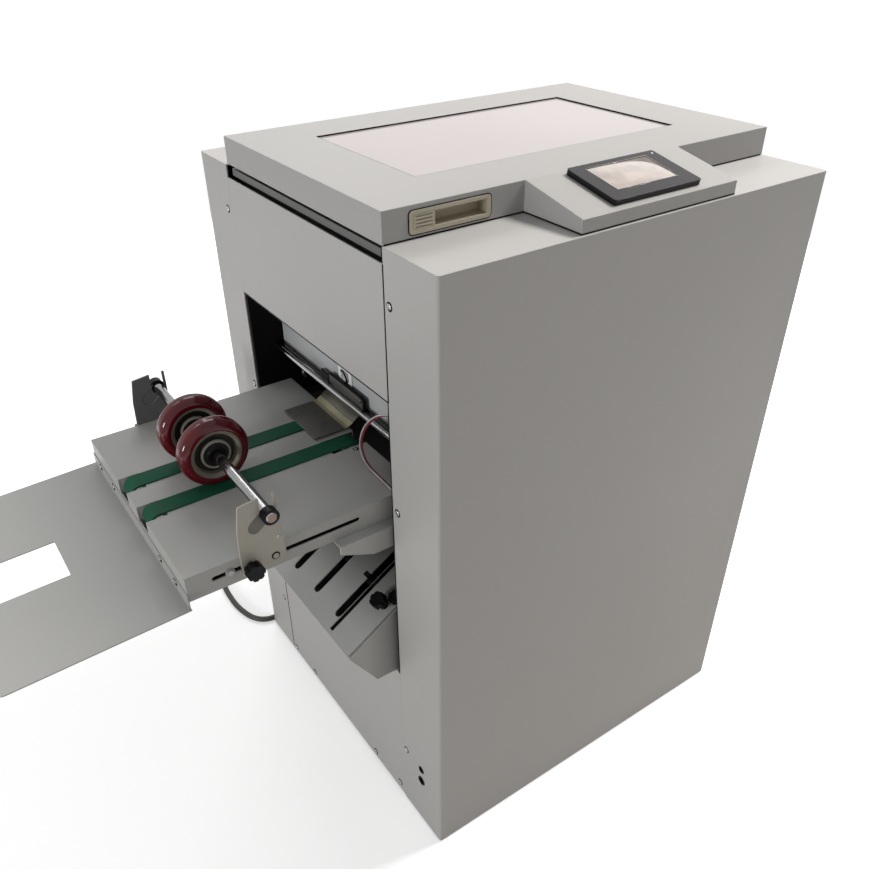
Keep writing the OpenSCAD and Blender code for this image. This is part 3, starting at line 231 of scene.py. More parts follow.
def painted_edge_highlight(tree, radius, amount):
    """A painted highlight: nothing on flat faces, rising to the amount along edges."""
    flat = add(tree, "ShaderNodeNewGeometry").outputs["Normal"]
    normals = {0: rounded_normal(tree, radius), 1: flat}
    turned = add(tree, "ShaderNodeVectorMath", normals, operation="DOT_PRODUCT")
    return spread(tree, turned.outputs["Value"], amount, 0, EDGE_FULL, EDGE_NONE)


def finish_surface(tree, shader, colour, rough, cloud, grain, peel, where=None, edge=0.0, wear_and_sheen=0.0):
    """Cloudy and grainy colour, uneven gloss and a fine raised grain; each is an amount and a scale."""
    where = where or coords(tree)
    soft = noise(tree, where, cloud[1], 3)
    fine = noise(tree, where, grain[1], 2)
    shade = math_node(tree, "ADD", spread(tree, soft, 1 - cloud[0], 1 + cloud[0]),
                      spread(tree, fine, -grain[0], grain[0]))
    # Where asked, edges are painted lighter as a highlight
    if wear_and_sheen:
        shade = math_node(tree, "ADD", shade, painted_edge_highlight(tree, edge, wear_and_sheen))
    tint(tree, shader, colour, shade)
    cloudy = spread(tree, soft, rough * (1 - GLOSS_CLOUD), rough * (1 + GLOSS_CLOUD))
    gloss = math_node(tree, "ADD", cloudy, spread(tree, fine, -GLOSS_GRAIN, GLOSS_GRAIN))
    tree.links.new(gloss, shader.inputs["Roughness"])
    bump(tree, shader, noise(tree, where, peel[1], 3), peel[0], edge=edge)


# Kinds of material

def paint(name, colour, rough=0.5, mask=None, other=None, shine=0.3, edge=EDGE):
    """Satin sprayed paint with a painted highlight along its edges; mask(tree) says where the other
    colour shows.
    """
    material, tree, shader = new_material(name, colour, rough)
    tone = toned(tree, colour, mask, other)
    finish_surface(tree, shader, tone, rough, cloud=(0.025, 2.6), grain=(0.03, 900), peel=(0.25, 620),
                   edge=edge, wear_and_sheen=EDGE_HIGHLIGHT if edge else 0.0)
    set_gloss(shader, shine)
    return material


def plastic(name, colour, rough=0.45, coat=0.0, peel=(0.2, 900), mask=None, other=None, shine=0.5):
    material, tree, shader = new_material(name, colour, rough)
    tone = toned(tree, colour, mask, other)
    finish_surface(tree, shader, tone, rough, cloud=(0.05, 30), grain=(0.06, 1400), peel=peel, edge=EDGE)
    set_gloss(shader, shine, coat, coat_rough=0.06)
    return material


def metal(name, colour, rough, stretch=(1, 1, 1), brushed=(0.25, 900), mask=None, other=None):
    """Ground or turned metal: fine lines along the axis that stretch leaves small."""
    material, tree, shader = new_material(name, colour, rough, metallic=1.0)
    tone = toned(tree, colour, mask, other)
    finish_surface(tree, shader, tone, rough, cloud=(0.04, 9), grain=(0.07, 700), peel=brushed,
                   where=coords(tree, stretch), edge=EDGE)
    return material


def core_material():
    """A cast wheel core: beige-grey rim, a recess painted dark as shade, and black boss."""
    # The recess between rim and boss is painted dark as shade
    beige, recess_painted_shade, boss = (0.2, 0.18, 0.145), (0.022, 0.018, 0.014), (0.008, 0.007, 0.007)
    boss_r, recess_r, rough = 21.5 * MM, 29.2 * MM, 0.4
    material, tree, shader = new_material("core_beige", beige, rough)
    r = from_axle(tree)
    rim_or_recess = two_tone(tree, within(tree, r, boss_r, recess_r), beige, recess_painted_shade)
    tone = two_tone(tree, math_node(tree, "LESS_THAN", r, boss_r), rim_or_recess, boss)
    finish_surface(tree, shader, tone, rough, cloud=(0.06, 40), grain=(0.08, 1100), peel=(0.25, 900),
                   edge=EDGE)
    set_gloss(shader, 0.2)
    return material


def belt_material():
    """A woven belt with worn patches."""
    colour, threads = (0.003, 0.066, 0.033), 190
    material, tree, shader = new_material("belt_green", colour, 0.6)
    where = coords(tree)
    weave = math_node(tree, "MULTIPLY", wave(tree, where, threads, "X"), wave(tree, where, threads, "Y"))
    wear_and_sheen = noise(tree, where, scale=22, detail=4)
    patches = spread(tree, wear_and_sheen, 0.78, 1.22)
    tint(tree, shader, colour, math_node(tree, "ADD", patches, spread(tree, weave, -0.14, 0.14, 0, 1)))
    tree.links.new(spread(tree, wear_and_sheen, 0.6, 0.76), shader.inputs["Roughness"])
    set_gloss(shader, 0.2)
    bump(tree, shader, weave, strength=0.35, depth=0.3 * MM)
    return material


def tyre_material():
    """Shiny cast rubber with faint scuffs."""
    colour = (0.088, 0.0035, 0.0075)
    material, tree, shader = new_material("tyre_red", colour, 0.16)
    where = coords(tree)
    soft = noise(tree, where, scale=40, detail=3)
    scuff = noise(tree, where, scale=260, detail=4)
    tint(tree, shader, colour, spread(tree, soft, 0.85, 1.2))
    tree.links.new(spread(tree, scuff, 0.07, 0.14), shader.inputs["Roughness"])
    set_gloss(shader, 0.25, coat=0.06, coat_rough=0.04)
    bump(tree, shader, scuff, strength=0.05)
    return material


def pane_material():
    """A milky pane with wiping marks in its gloss."""
    colour = (0.41, 0.368, 0.368)
    material, tree, shader = new_material("pane_milky", colour, 0.1)
    soft = noise(tree, coords(tree), scale=3.5, detail=2)
    smear = noise(tree, coords(tree, (1, 0.25, 1)), scale=26, detail=4)
    tint(tree, shader, colour, spread(tree, soft, 0.96, 1.04))
    tree.links.new(spread(tree, smear, 0.07, 0.15), shader.inputs["Roughness"])
    set_gloss(shader, coat=0.3)
    return material


def screen_material():
    """A pale empty panel with soft lighter and darker patches."""
    colour = (0.40, 0.345, 0.31)
    material, tree, shader = new_material("screen_glass", colour, 0.06)
    where = coords(tree)
    tint(tree, shader, colour, spread(tree, noise(tree, where, scale=46, detail=1), 0.82, 1.22))
    smear = noise(tree, where, scale=120, detail=3)
    tree.links.new(spread(tree, smear, 0.04, 0.09), shader.inputs["Roughness"])
    set_gloss(shader, coat=1.0, coat_rough=0.02)
    return material


def sheath_material(name, colour, rough):
    """A cord's moulded sheath, uneven in tone and gloss."""
    material, tree, shader = new_material(name, colour, rough)
    where = coords(tree)
    soft = noise(tree, where, scale=45, detail=3)
    tint(tree, shader, colour, spread(tree, soft, 0.8, 1.25))
    tree.links.new(spread(tree, soft, rough * 0.85, rough * 1.15), shader.inputs["Roughness"])
    bump(tree, shader, noise(tree, where, scale=700, detail=2), strength=0.15)
    return material


# Where a node shows a second colour: painted shade on the table's inside, the chute and the brackets, a
# painted sheen on the bezel's top, a painted reflection on the shaft's ends, and other colours further in
# than a given x

def table_inside_painted_shade(tree):
    """Painted shade on the table's inside, seen through the slots in its sides."""
    wall, lit_end, below = 2.5, 43, 1
    low = at(TABLE_LOW.x + lit_end, TABLE_LOW.y + wall, TABLE_LOW.z - below)
    high = at(*(side - wall for side in TABLE_HIGH))
    x, y, z = (within(tree, place_value(tree, axis), *ends) for axis, *ends in zip("XYZ", low, high))
    return math_node(tree, "MULTIPLY", math_node(tree, "MULTIPLY", x, y), z)


def painted_shade_under_machine(tree):
    """The parts of the chute and table supports inside the covers, painted darker inwards as shade."""
    light, dark = at(-50, 0, 0).x, at(75, 0, 0).x
    return spread(tree, place_value(tree, "X"), 0, 1, light, dark)


def bracket_inside_painted_shade(tree):
    """The faces of the two shaft brackets that look at each other, which are painted darker as shade."""
    middle = at(0, (TABLE_LOW.y + TABLE_HIGH.y) / 2, 0).y
    # Both brackets are further than this from the table's middle, in metres
    reach = 0.1
    side = math_node(tree, "SUBTRACT", middle, place_value(tree, "Y"))
    facing_in = math_node(tree, "MULTIPLY", side, place_value(tree, "Y", "Normal"))
    return math_node(tree, "GREATER_THAN", facing_in, reach)


def bezel_top_painted_sheen(tree):
    """The face of the bezel that looks up, painted lighter grey as its sheen."""
    return math_node(tree, "GREATER_THAN", place_value(tree, "Z", "Normal"), 0.9)


def behind(x):
    """A mask of what lies further in than x."""
    return lambda tree: math_node(tree, "GREATER_THAN", place_value(tree, "X"), at(x, 0, 0).x)


def shaft_ends_painted_reflection(tree):
    """The two end faces of the press shaft, painted brownish as a reflection."""
    low, high = node_box("press_shaft")
    front, rear = (at(0, y, 0).y for y in grown((low.y, high.y), -0.2))
    return math_node(tree, "SUBTRACT", 1, within(tree, place_value(tree, "Y"), front, rear))


def from_axle(tree):
    """Distance from the press shaft's middle line."""
    middle = at(*SHAFT)
    across = math_node(tree, "SUBTRACT", place_value(tree, "X"), middle.x)
    up = math_node(tree, "SUBTRACT", place_value(tree, "Z"), middle.z)
    return distance(tree, across, up)


# Materials by the record's slots, and those that only the scene has

BODY_GREY = (0.402, 0.396, 0.386)
# Painted shade on the brackets' inner faces and on the rear slot blank
BRACKET_PAINTED_SHADE = (0.12, 0.123, 0.122)
# Drawn along y: fine lines round the shaft and the rods
ALONG_Y = (1, 0.04, 1)
POLISHED = (0.1, 1300)
SMOOTH = (0.03, 900)
# Behind these lie the rail, its plate and the bar, and the flap's rise
ROD_BACK, FLAP_RISE = 43, 52

MATERIALS = {
    "body_paint": paint("body_paint", BODY_GREY),
    "lid_paint": paint("lid_paint", (0.335, 0.33, 0.322), 0.45),
    # The table's inside is painted near-black as shade
    "table_paint": paint("table_paint", (0.385, 0.383, 0.368), mask=table_inside_painted_shade,
                         other=(0.02, 0.02, 0.02)),
    "bracket_paint": paint("bracket_paint", (0.40, 0.385, 0.335), 0.45, mask=bracket_inside_painted_shade,
                           other=BRACKET_PAINTED_SHADE),
    "dark_paint": paint("dark_paint", (0.004, 0.004, 0.0045), 0.6, shine=0.08),
    "motor_paint": paint("motor_paint", (0.03, 0.032, 0.036), 0.4),
    "steel": metal("steel", (0.36, 0.37, 0.38), 0.36, stretch=(1, 0.05, 1)),
    # The shaft's end faces carry a painted brownish reflection
    "bright_steel": metal("bright_steel", (0.27, 0.27, 0.275), 0.13, ALONG_Y, POLISHED,
                          mask=shaft_ends_painted_reflection, other=(0.16, 0.115, 0.10)),
    "gear_brass": metal("gear_brass", (0.55, 0.38, 0.14), 0.3),
    "black_plastic": plastic("black_plastic", (0.005, 0.005, 0.0055), 0.34, shine=0.1),
    # The bezel's top face is painted lighter grey as sheen
    "screen_plastic": plastic("screen_plastic", (0.004, 0.004, 0.0045), 0.22, coat=0.08, peel=(0.05, 900),
                              mask=bezel_top_painted_sheen, other=(0.02, 0.0175, 0.0175), shine=0.2),
    "core_beige": core_material(),
    "latch_beige": plastic("latch_beige", (0.40, 0.36, 0.27), 0.42),
    "spool_plastic": plastic("spool_plastic", (0.06, 0.06, 0.065), 0.4),
    "belt_green": belt_material(),
    "tyre_red": tyre_material(),
    "pane_milky": pane_material(),
    "cord_black": sheath_material("cord_black", (0.022, 0.022, 0.016), 0.5),
    "sensor_red": sheath_material("sensor_red", (0.17, 0.014, 0.024), 0.4),
}
white_wire = sheath_material("sensor_white", (0.44, 0.41, 0.41), 0.4)
zinc = metal("zinc", (0.36, 0.36, 0.355), 0.26)
dull_zinc = metal("dull_zinc", (0.2, 0.2, 0.2), 0.4)
stitch_wire = metal("stitch_wire", (0.60, 0.60, 0.58), 0.25)
exit_steel = metal("exit_steel", (0.34, 0.34, 0.345), 0.12, ALONG_Y, POLISHED, mask=behind(ROD_BACK),
                   other=(0.06, 0.06, 0.062))
white_plastic = plastic("white_plastic", (0.76, 0.76, 0.74), 0.4)
dark_glass = plastic("dark_glass", (0.03, 0.03, 0.032), 0.12, coat=0.8, peel=SMOOTH)
rubber = plastic("rubber", (0.004, 0.004, 0.004), 0.55, shine=0.1)
film = plastic("film", (0.125, 0.122, 0.112), 0.3, coat=0.2, peel=(0.5, 160), mask=behind(FLAP_RISE),
               other=(0.15, 0.137, 0.10))
sensor_face = plastic("sensor_face", (0.10, 0.095, 0.086), 0.16, coat=0.5, peel=SMOOTH)
ring_grey = plastic("ring_grey", (0.24, 0.225, 0.19), 0.35)
tape = plastic("tape_yellow", (0.43, 0.40, 0.25), 0.5)
# The table's paint made darker for the tray, as painted shade
tray_paint_shaded = paint("tray_paint_shaded", (0.35, 0.352, 0.342), 0.45)
# The chute and table supports are painted darker inwards, as shade under the machine
chute_paint = paint("chute_paint", (0.43, 0.43, 0.418), mask=painted_shade_under_machine, other=(0.025, 0.025, 0.024))
inner_paint = paint("inner_paint", (0.43, 0.44, 0.445), 0.45)
ledge_paint = paint("ledge_paint", (0.09, 0.089, 0.086))
fill_paint = paint("fill_paint", BODY_GREY, edge=0.0)
# The slot blanks are painted darker than the brackets, as shade in the slots
front_blank_painted_shade = paint("front_blank_painted_shade", (0.16, 0.155, 0.135))
rear_blank_painted_shade = paint("rear_blank_painted_shade", BRACKET_PAINTED_SHADE)
glass = screen_material()

# A node comes with a plain material that is named after the record's slot
for node in nodes.values():
    node.data.materials[0] = MATERIALS[node.data.materials[0].name]
for name, material in (("exit_rods", exit_steel), ("exit_flap", film), ("inner_plate", inner_paint),
                       ("cross_bars", ledge_paint), ("chute", chute_paint),
                       ("table_supports", chute_paint), ("tray", tray_paint_shaded)):
    nodes[name].data.materials[0] = material


# Mesh helpers

def mesh_of(name, bm):
    mesh = bpy.data.meshes.new(name)
    bm.to_mesh(mesh)
    bm.free()
    return mesh


def join(bm, low, high):
    """Faces between two closed loops of as many points."""
    for k, point in enumerate(low):
        n = (k + 1) % len(low)
        bm.faces.new((point, low[n], high[n], high[k]))


def round_points(bm, r, h, turn, sides):
    """Points about the z axis at a radius and height in millimetres, then set in place by turn."""
    steps = [2 * math.pi * k / sides for k in range(sides)]
    return [bm.verts.new(turn @ (Vector((r * math.cos(a), r * math.sin(a), h)) * MM)) for a in steps]


def lathe(bm, outline, turn, sides):
    """An outline of radius and height pairs, swept about the z axis; both ends close."""
    rings = []
    for r, h in outline:
        if r == 0:
            rings.append([bm.verts.new(turn @ Vector((0, 0, h * MM)))])
        else:
            rings.append(round_points(bm, r, h, turn, sides))
    for low, high in zip(rings, rings[1:]):
        for k in range(sides):
            a, b = low[k % len(low)], low[(k + 1) % len(low)]
            c, d = high[(k + 1) % len(high)], high[k % len(high)]
            bm.faces.new([v for i, v in enumerate((a, b, c, d)) if v not in (a, b, c, d)[:i]])
    for ring, back in ((rings[0], True), (rings[-1], False)):
        if len(ring) > 1:
            bm.faces.new(ring[::-1] if back else ring)


def ring_lathe(bm, outline, turn, sides=40):
    """A closed loop of radius and height pairs swept about the z axis, as for a washer."""
    rows = [round_points(bm, r, h, turn, sides) for r, h in outline]
    for i, low in enumerate(rows):
        join(bm, low, rows[(i + 1) % len(rows)])


def block(bm, low, high, soft=0.0, turn=Matrix.Identity(4)):
    """A box between two corners in metres, with its edges rounded off."""
    made = bmesh.ops.create_cube(bm, size=1)["verts"]
    size = Vector(high) - Vector(low)
    middle = (Vector(high) + Vector(low)) / 2
    for v in made:
        v.co = turn @ (Vector(a * b for a, b in zip(v.co, size)) + middle)
    if soft:
        edges = list({e for v in made for e in v.link_edges})
        bmesh.ops.bevel(bm, geom=edges, offset=soft, segments=2, profile=0.5, affect="EDGES")


def rounded_outline(x, z, r, steps=6):
    """A rectangle with round corners, as pairs."""
    points = []
    for mid_x, mid_z, start in ((x[1] - r, z[1] - r, 0), (x[0] + r, z[1] - r, 90),
                                (x[0] + r, z[0] + r, 180), (x[1] - r, z[0] + r, 270)):
        for k in range(steps + 1):
            a = math.radians(start + 90 * k / steps)
            points.append((mid_x + r * math.cos(a), mid_z + r * math.sin(a)))
    return points


def set_across(bm, outline, axis, along):
    """Points of an outline on the plane across an axis, x or y, at a place along it."""
    if axis == "x":
        return [bm.verts.new(at(along, u, v)) for u, v in outline]
    return [bm.verts.new(at(u, along, v)) for u, v in outline]


def facing(direction, place):
    """The placing that turns z towards a direction and moves the origin to a place."""
    return Matrix.Translation(place) @ Vector(direction).to_track_quat("Z", "Y").to_matrix().to_4x4()


def piece(name, bm, body, material, angle=35):
    """A mesh that rides on a body; edges sharper than the angle, in degrees, stay sharp."""
    bmesh.ops.recalc_face_normals(bm, faces=bm.faces)
    mesh = mesh_of(name, bm)
    mesh.materials.append(material)
    mesh.shade_smooth()
    mesh.set_sharp_from_angle(angle=math.radians(angle))
    obj = bpy.data.objects.new(name, mesh)
    scene.collection.objects.link(obj)
    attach(obj, body)
    return obj


def plate(name, outline, axis, ends, body, material):
    """A flat plate with the outline across an axis, between two places along it."""
    bm = bmesh.new()
    rows = [set_across(bm, outline, axis, along) for along in ends]
    join(bm, *rows)
    for row in rows:
        bm.faces.new(row)
    piece(name, bm, body, material)


def frame_plate(name, outer, inner, axis, ends, body, material):
    """A flat ring between two outlines of as many points."""
    bm = bmesh.new()
    rows = [[set_across(bm, line, axis, along) for line in (outer, inner)] for along in ends]
    for pair in (*rows, *zip(*rows)):
        join(bm, *pair)
    piece(name, bm, body, material)


def blocks(name, corners, soft, body, material, turn=Matrix.Identity(4)):
    """Boxes, each between two corners in metres, with edges rounded off by soft millimetres."""
    bm = bmesh.new()
    for low, high in corners:
        block(bm, low, high, soft * MM, turn)
    piece(name, bm, body, material)


def ring_of_blocks(name, x, y, z, wall, soft, turn, material):
    """Four strips on the lid, inside the edges of a rectangle that lies flat before it is turned."""
    strips = (((x[0], y[0]), (x[1], y[0] + wall)), ((x[0], y[1] - wall), (x[1], y[1])),
              ((x[0], y[0] + wall), (x[0] + wall, y[1] - wall)),
              ((x[1] - wall, y[0] + wall), (x[1], y[1] - wall)))
    corners = [(Vector((*low, z[0])) * MM, Vector((*high, z[1])) * MM) for low, high in strips]
    blocks(name, corners, soft, "lid", material, turn)


# Cords

def curve_point(a, b, c, d, t):
    """A point between b and c, on the smooth curve through all four."""
    return 0.5 * (2 * b + (c - a) * t + (2 * a - 5 * b + 4 * c - d) * t * t
                  + (3 * b - a - 3 * c + d) * t * t * t)


def smooth(points, steps):
    last = len(points) - 1
    out = []
    for i in range(last):
        four = points[max(i - 1, 0)], points[i], points[i + 1], points[min(i + 2, last)]
        out += [curve_point(*four, k / steps) for k in range(steps)]
    return out + [points[last]]


def cord_curve(name, path, diameter, material):
    data = bpy.data.curves.new(name, "CURVE")
    data.dimensions = "3D"
    data.bevel_depth = diameter / 2
    data.bevel_resolution = 4
    data.use_fill_caps = True
    spline = data.splines.new("POLY")
    spline.points.add(len(path) - 1)
    for point, p in zip(spline.points, path):
        point.co = (*p, 1)
    spline.use_smooth = True
    data.materials.append(material)
    obj = bpy.data.objects.new(name, data)
    scene.collection.objects.link(obj)
    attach(obj, "machine")
    return obj


CORD_D = 12
# Height of the cord's middle line where it lies on the floor
CORD_LOW = CORD_D / 2 + 0.25
GLAND_X, GLAND_L, GLAND_Z = 300, 34, 70
# The coil's middle out from the rear face, and its turns in each of two layers
COIL_OUT, COIL_R, COIL_TURNS, COIL_PITCH = 149, 78, 1.75, 12.8
COIL_MID = (150, CAB_D + COIL_OUT)
COIL_IN = COIL_R - COIL_TURNS * COIL_PITCH
# Share of a turn that climbs to the upper layer, and the share of a pitch by which it dips inwards
COIL_CLIMB, COIL_DIP = 0.5, 0.35
COIL_STEPS, COIL_TAIL = 36, 45
# x, the distance out from the rear face and the share of the gland's height
MAINS_ROUTE = [
    (GLAND_X, GLAND_L, 1), (300, 53, 0.98), (296, 73, 0.84), (282, 88, 0.53), (258, 91, 0.22),
    (228, 80, 0.05), (198, 62, 0), (165, 42, 0), (128, 25, 0), (95, 14, 0), (60, 9, 0), (30, 8, 0),
    (8, 8, 0), (-9, 11, 0), (-24, 20, 0), (-36, 36, 0), (-44, 59, 0), (-49, 87, 0), (-50, 118, 0),
    (-47, 160, 0), (-34, 197, 0), (-8, 223, 0), (28, 235, 0), (68, 234, 0), (105, 229, 0),
    (COIL_MID[0] - CORD_D, COIL_OUT + COIL_R, 0),
]
RED_D, WHITE_D, WHITE_OFF = 3, 2.2, (-2.6, 0.8, 1.4)
# From the front frame plate's inner face and from the table's top
SENSOR_ROUTE = [
    (24, 0, 120), (24, 11, 120), (23, 32, 115), (21, 57, 102), (20, 81, 80), (20, 98, 56),
    (20, 106, 31), (20, 99, 13), (20, 82, 5), (20, 57, 3), (19, 32, 3), (18, 12, 3), (18, 0, 3),
]
FRAME_Y = node_box("front_frame_plate")[1].y


def coil_point(t):
    """The place after t turns: inwards on the floor, up, then outwards on the upper layer."""
    climb = max(0, min(1, (t - COIL_TURNS) / COIL_CLIMB))
    if t < COIL_TURNS:
        r = COIL_IN + COIL_PITCH * (COIL_TURNS - t)
    elif t < COIL_TURNS + COIL_CLIMB:
        r = COIL_IN - COIL_DIP * COIL_PITCH * math.sin(math.pi * climb)
    else:
        r = COIL_IN + COIL_PITCH * (t - COIL_TURNS - COIL_CLIMB)
    a = math.radians(90 - 360 * t)
    height = CORD_LOW + COIL_PITCH * climb
    return at(COIL_MID[0] + r * math.cos(a), COIL_MID[1] + r * math.sin(a), height)


def make_mains():
    drop = GLAND_Z - CORD_LOW
    lead = smooth([at(x, CAB_D + y, CORD_LOW + z * drop) for x, y, z in MAINS_ROUTE], 5)
    total = 2 * COIL_TURNS + COIL_CLIMB
    steps = round(total * COIL_STEPS)
    coil = [coil_point(i * total / steps) for i in range(steps + 1)]
    end = coil[-1] + Vector((COIL_TAIL * MM, 0, 0))
    path = lead + coil + [end]
    cord = cord_curve("mains_cord", path, CORD_D * MM, MATERIALS["cord_black"])
    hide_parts("mains_lead", "mains_coil")
    plug = make_plug(end)


def make_plug(end):
    """A moulded round plug with a ribbed grip, and its two steel pins."""
    turn = facing((1, 0, 0), end)
    r, ribs, rib_pitch, grip_start, pin_off = 18.7, 5, 4.0, 22, 9.5
    grip = []
    for i in range(ribs):
        h = grip_start + i * rib_pitch
        grip += [(r - 1.6, h), (r - 0.4, h + 1), (r - 0.4, h + 2.6), (r - 1.6, h + 3.6)]
    outline = [(0, 0), (7.4, 0), (8.0, 1.5), (8.6, 9), (10, 15), (13.6, 19.4), *grip,
               (r - 0.3, 43.5), (r, 45), (r, 52.4), (r - 1.2, 54), (0, 54)]
    bm = bmesh.new()
    lathe(bm, outline, turn, 40)
    body = piece("plug_body", bm, "machine", MATERIALS["cord_black"], 50)
    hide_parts("mains_plug")
    pin = [(0, 50), (2.4, 50), (2.4, 70.4), (2.0, 71.9), (1.1, 72.8), (0, 73)]
    bm = bmesh.new()
    for side in (-1, 1):
        lathe(bm, pin, turn @ Matrix.Translation((0, side * pin_off * MM, 0)), 20)
    pins = piece("plug_pins", bm, "machine", zinc)
    return [body, pins]


def make_sensor_leads():
    """Two thin wires side by side, red and white."""
    for name, off, size, material in (("sensor_wire", (0, 0, 0), RED_D, MATERIALS["sensor_red"]),
                                      ("sensor_wire_white", WHITE_OFF, WHITE_D, white_wire)):
        route = [(x + off[0], y + off[1], z + off[2]) for x, y, z in SENSOR_ROUTE]
        path = smooth([at(x, FRAME_Y + y, TABLE_HIGH.z + z) for x, y, z in route], 6)
        wire = cord_curve(name, path, size * MM, material)
        if name == "sensor_wire":
            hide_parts("sensor_lead")


make_mains()
make_sensor_leads()


# Screws

SCREW_R, SCREW_H = 4.2, 2.0
# Depth to which heads and washers are sunk, and the washers' reach in and out from the head's edge
HEAD_SUNK, WASHER_SUNK, WASHER_IN, WASHER_OUT = 0.3, 0.2, 1, 1.9


def screw_mesh(r, h):
    """A pan head with a cross recess, standing on z 0."""
    bm = bmesh.new()
    angles = [math.radians(d) for d in range(0, 90, 15)]
    dome = [(r * math.cos(a), h * (0.35 + 0.65 * math.sin(a))) for a in angles]
    lathe(bm, [(0, -HEAD_SUNK), (r, -HEAD_SUNK), *dome, (0, h)], Matrix.Identity(4), 28)
    bmesh.ops.recalc_face_normals(bm, faces=bm.faces)
    head = bpy.data.objects.new("head", mesh_of("head", bm))
    bm = bmesh.new()
    long, thin, floor, over = r * 0.56, r * 0.13, h * 0.3, h * 2
    for x, y in ((long, thin), (thin, long)):
        block(bm, Vector((-x, -y, floor)) * MM, Vector((x, y, over)) * MM)
    cross = bpy.data.objects.new("cross", mesh_of("cross", bm))
    for obj in (head, cross):
        scene.collection.objects.link(obj)
    cut = head.modifiers.new("cut", "BOOLEAN")
    cut.object = cross
    cut.operation = "DIFFERENCE"
    cut.solver = "EXACT"
    cut.use_self = True
    bpy.context.view_layer.update()
    graph = bpy.context.evaluated_depsgraph_get()
    made = bpy.data.meshes.new_from_object(head.evaluated_get(graph))
    for obj in (head, cross):
        bpy.data.objects.remove(obj)
    return made


SCREW = screw_mesh(SCREW_R, SCREW_H)


def screws(name, places, direction, body="machine", size=1.0, ringed=True):
    """Pan heads, on dark washers where ringed, each turned a little further than the last."""
    heads, washers = bmesh.new(), bmesh.new()
    first_turn, next_turn = 11, 37
    inner, outer = SCREW_R * size - WASHER_IN, SCREW_R * size + WASHER_OUT
    rim = [(inner, -WASHER_SUNK), (outer, -WASHER_SUNK), (outer, 0.3), (outer - 0.4, 0.5), (inner, 0.5)]
    for i, place in enumerate(places):
        spin = Matrix.Rotation(math.radians(next_turn * i + first_turn), 4, "Z")
        count = len(heads.verts)
        heads.from_mesh(SCREW)
        heads.verts.ensure_lookup_table()
        turn = facing(direction, place)
        bmesh.ops.transform(heads, matrix=turn @ spin @ Matrix.Scale(size, 4), verts=heads.verts[count:])
        ring_lathe(washers, rim, turn, 28)
    if ringed:
        piece(name + "_washers", washers, body, rubber)
    else:
        washers.free()
    piece(name, heads, body, zinc)


# y and z on the left side and on the tray's flange, x and z on the rear, with none in its middle
LEFT_SCREWS = [(550, 930), (545, 634), (96, 933), (96, 638), (97, 140), (553, 134), (521, 17), (442, 14),
               (205, 18), (122, 24)]
REAR_X, REAR_Z, REAR_BARE = (24, 327, 630), (40, 520, 960), (327, 520)
REAR_SCREWS = [(x, z) for x in REAR_X for z in REAR_Z if (x, z) != REAR_BARE]
TRAY_SCREWS = [(479, 611), (419, 610), (224, 610), (170, 610)]
TRAY_SHEET = 1.5

screws("left_screws", [at(0, y, z) for y, z in LEFT_SCREWS], (-1, 0, 0))
screws("rear_screws", [at(x, CAB_D, z) for x, z in REAR_SCREWS], (0, 1, 0))
screws("tray_screws", [at(TABLE_LOW.x - TRAY_SHEET, y, z) for y, z in TRAY_SCREWS], (-1, 0, 0), size=0.9)


# Left side: seams between the panels and the covers, a black strip as a painted shadow line under the
# upper panel, and two grommets

UPPER_PANEL = [corner.z for corner in node_box("left_upper_panel")]
LOWER_PANEL = (12, node_box("left_lower_panel")[1].z)
DARK_FRONT, DARK_REAR = (105.8, 108.9), (532.9, 536.3)
FILLED_FRONT, FILLED_REAR = (105.6, 109.4), (532.6, 536.4)
SHADOW_Y, SHADOW_Z = (108.8, 534), (UPPER_PANEL[0] - 1, UPPER_PANEL[0] + 1.2)
# Height and radius of each grommet
GROMMET_Y, GROMMETS = 53.5, ((135.5, 5), (107, 7))


def strips(name, boxes, material):
    """Thin strips let into the left side, each with its reach in y and in z."""
    proud, sunk, soft = 0.06, 1.6, 0.02
    corners = [(at(-proud, y[0], z[0]), at(sunk, y[1], z[1])) for y, z in boxes]
    blocks(name, corners, soft, "machine", material)


def make_grommets():
    sunk, flange = 1.6, 1.9
    bm = bmesh.new()
    for z, r in GROMMETS:
        outline = [(r - 0.6, -sunk), (r - 0.6, 0.6), (r, 1.0), (r + flange - 0.5, 1.0), (r + flange, 0.5),
                   (r + flange, 0.05), (r - 0.05, 0.05), (r - 0.05, -sunk)]
        ring_lathe(bm, outline, facing((-1, 0, 0), at(0, GROMMET_Y, z)))
    piece("cable_grommets", bm, "machine", rubber)


# The last strip is black, painted as the shadow line under the upper panel
strips("dark_seams_and_painted_shadow", [(DARK_FRONT, UPPER_PANEL), (DARK_REAR, LOWER_PANEL), (SHADOW_Y, SHADOW_Z)], rubber)
strips("filled_seams", [(FILLED_REAR, UPPER_PANEL), (FILLED_FRONT, LOWER_PANEL)], fill_paint)
make_grommets()


# Wheel hubs: black sealed bearings and pale rings in both faces

def make_hub(side_name):
    body = "wheel_" + side_name
    middle = axle(body + "_spin")
    seal = [(7.8, 12.6), (7.8, 13.6), (9.2, 14.0), (9.8, 13.5), (10.8, 13.5), (11.3, 14.1), (12.2, 14.1),
            (12.8, 13.4), (12.8, 12.6)]
    edge = [(18.0, 11.8), (18.3, 12.5), (19.4, 12.9), (20.6, 12.8), (21.25, 12.1), (21.25, 8.0),
            (20.9, 8.0), (20.9, 11.8)]
    for name, outline, material in (("hub_" + side_name, seal, MATERIALS["black_plastic"]),
                                    ("hub_ring_" + side_name, edge, ring_grey)):
        bm = bmesh.new()
        for side in (-1, 1):
            ring_lathe(bm, outline, facing((0, side, 0), at(*middle)), 56)
        piece(name, bm, body, material, angle=50)


make_hub("front")
make_hub("rear")


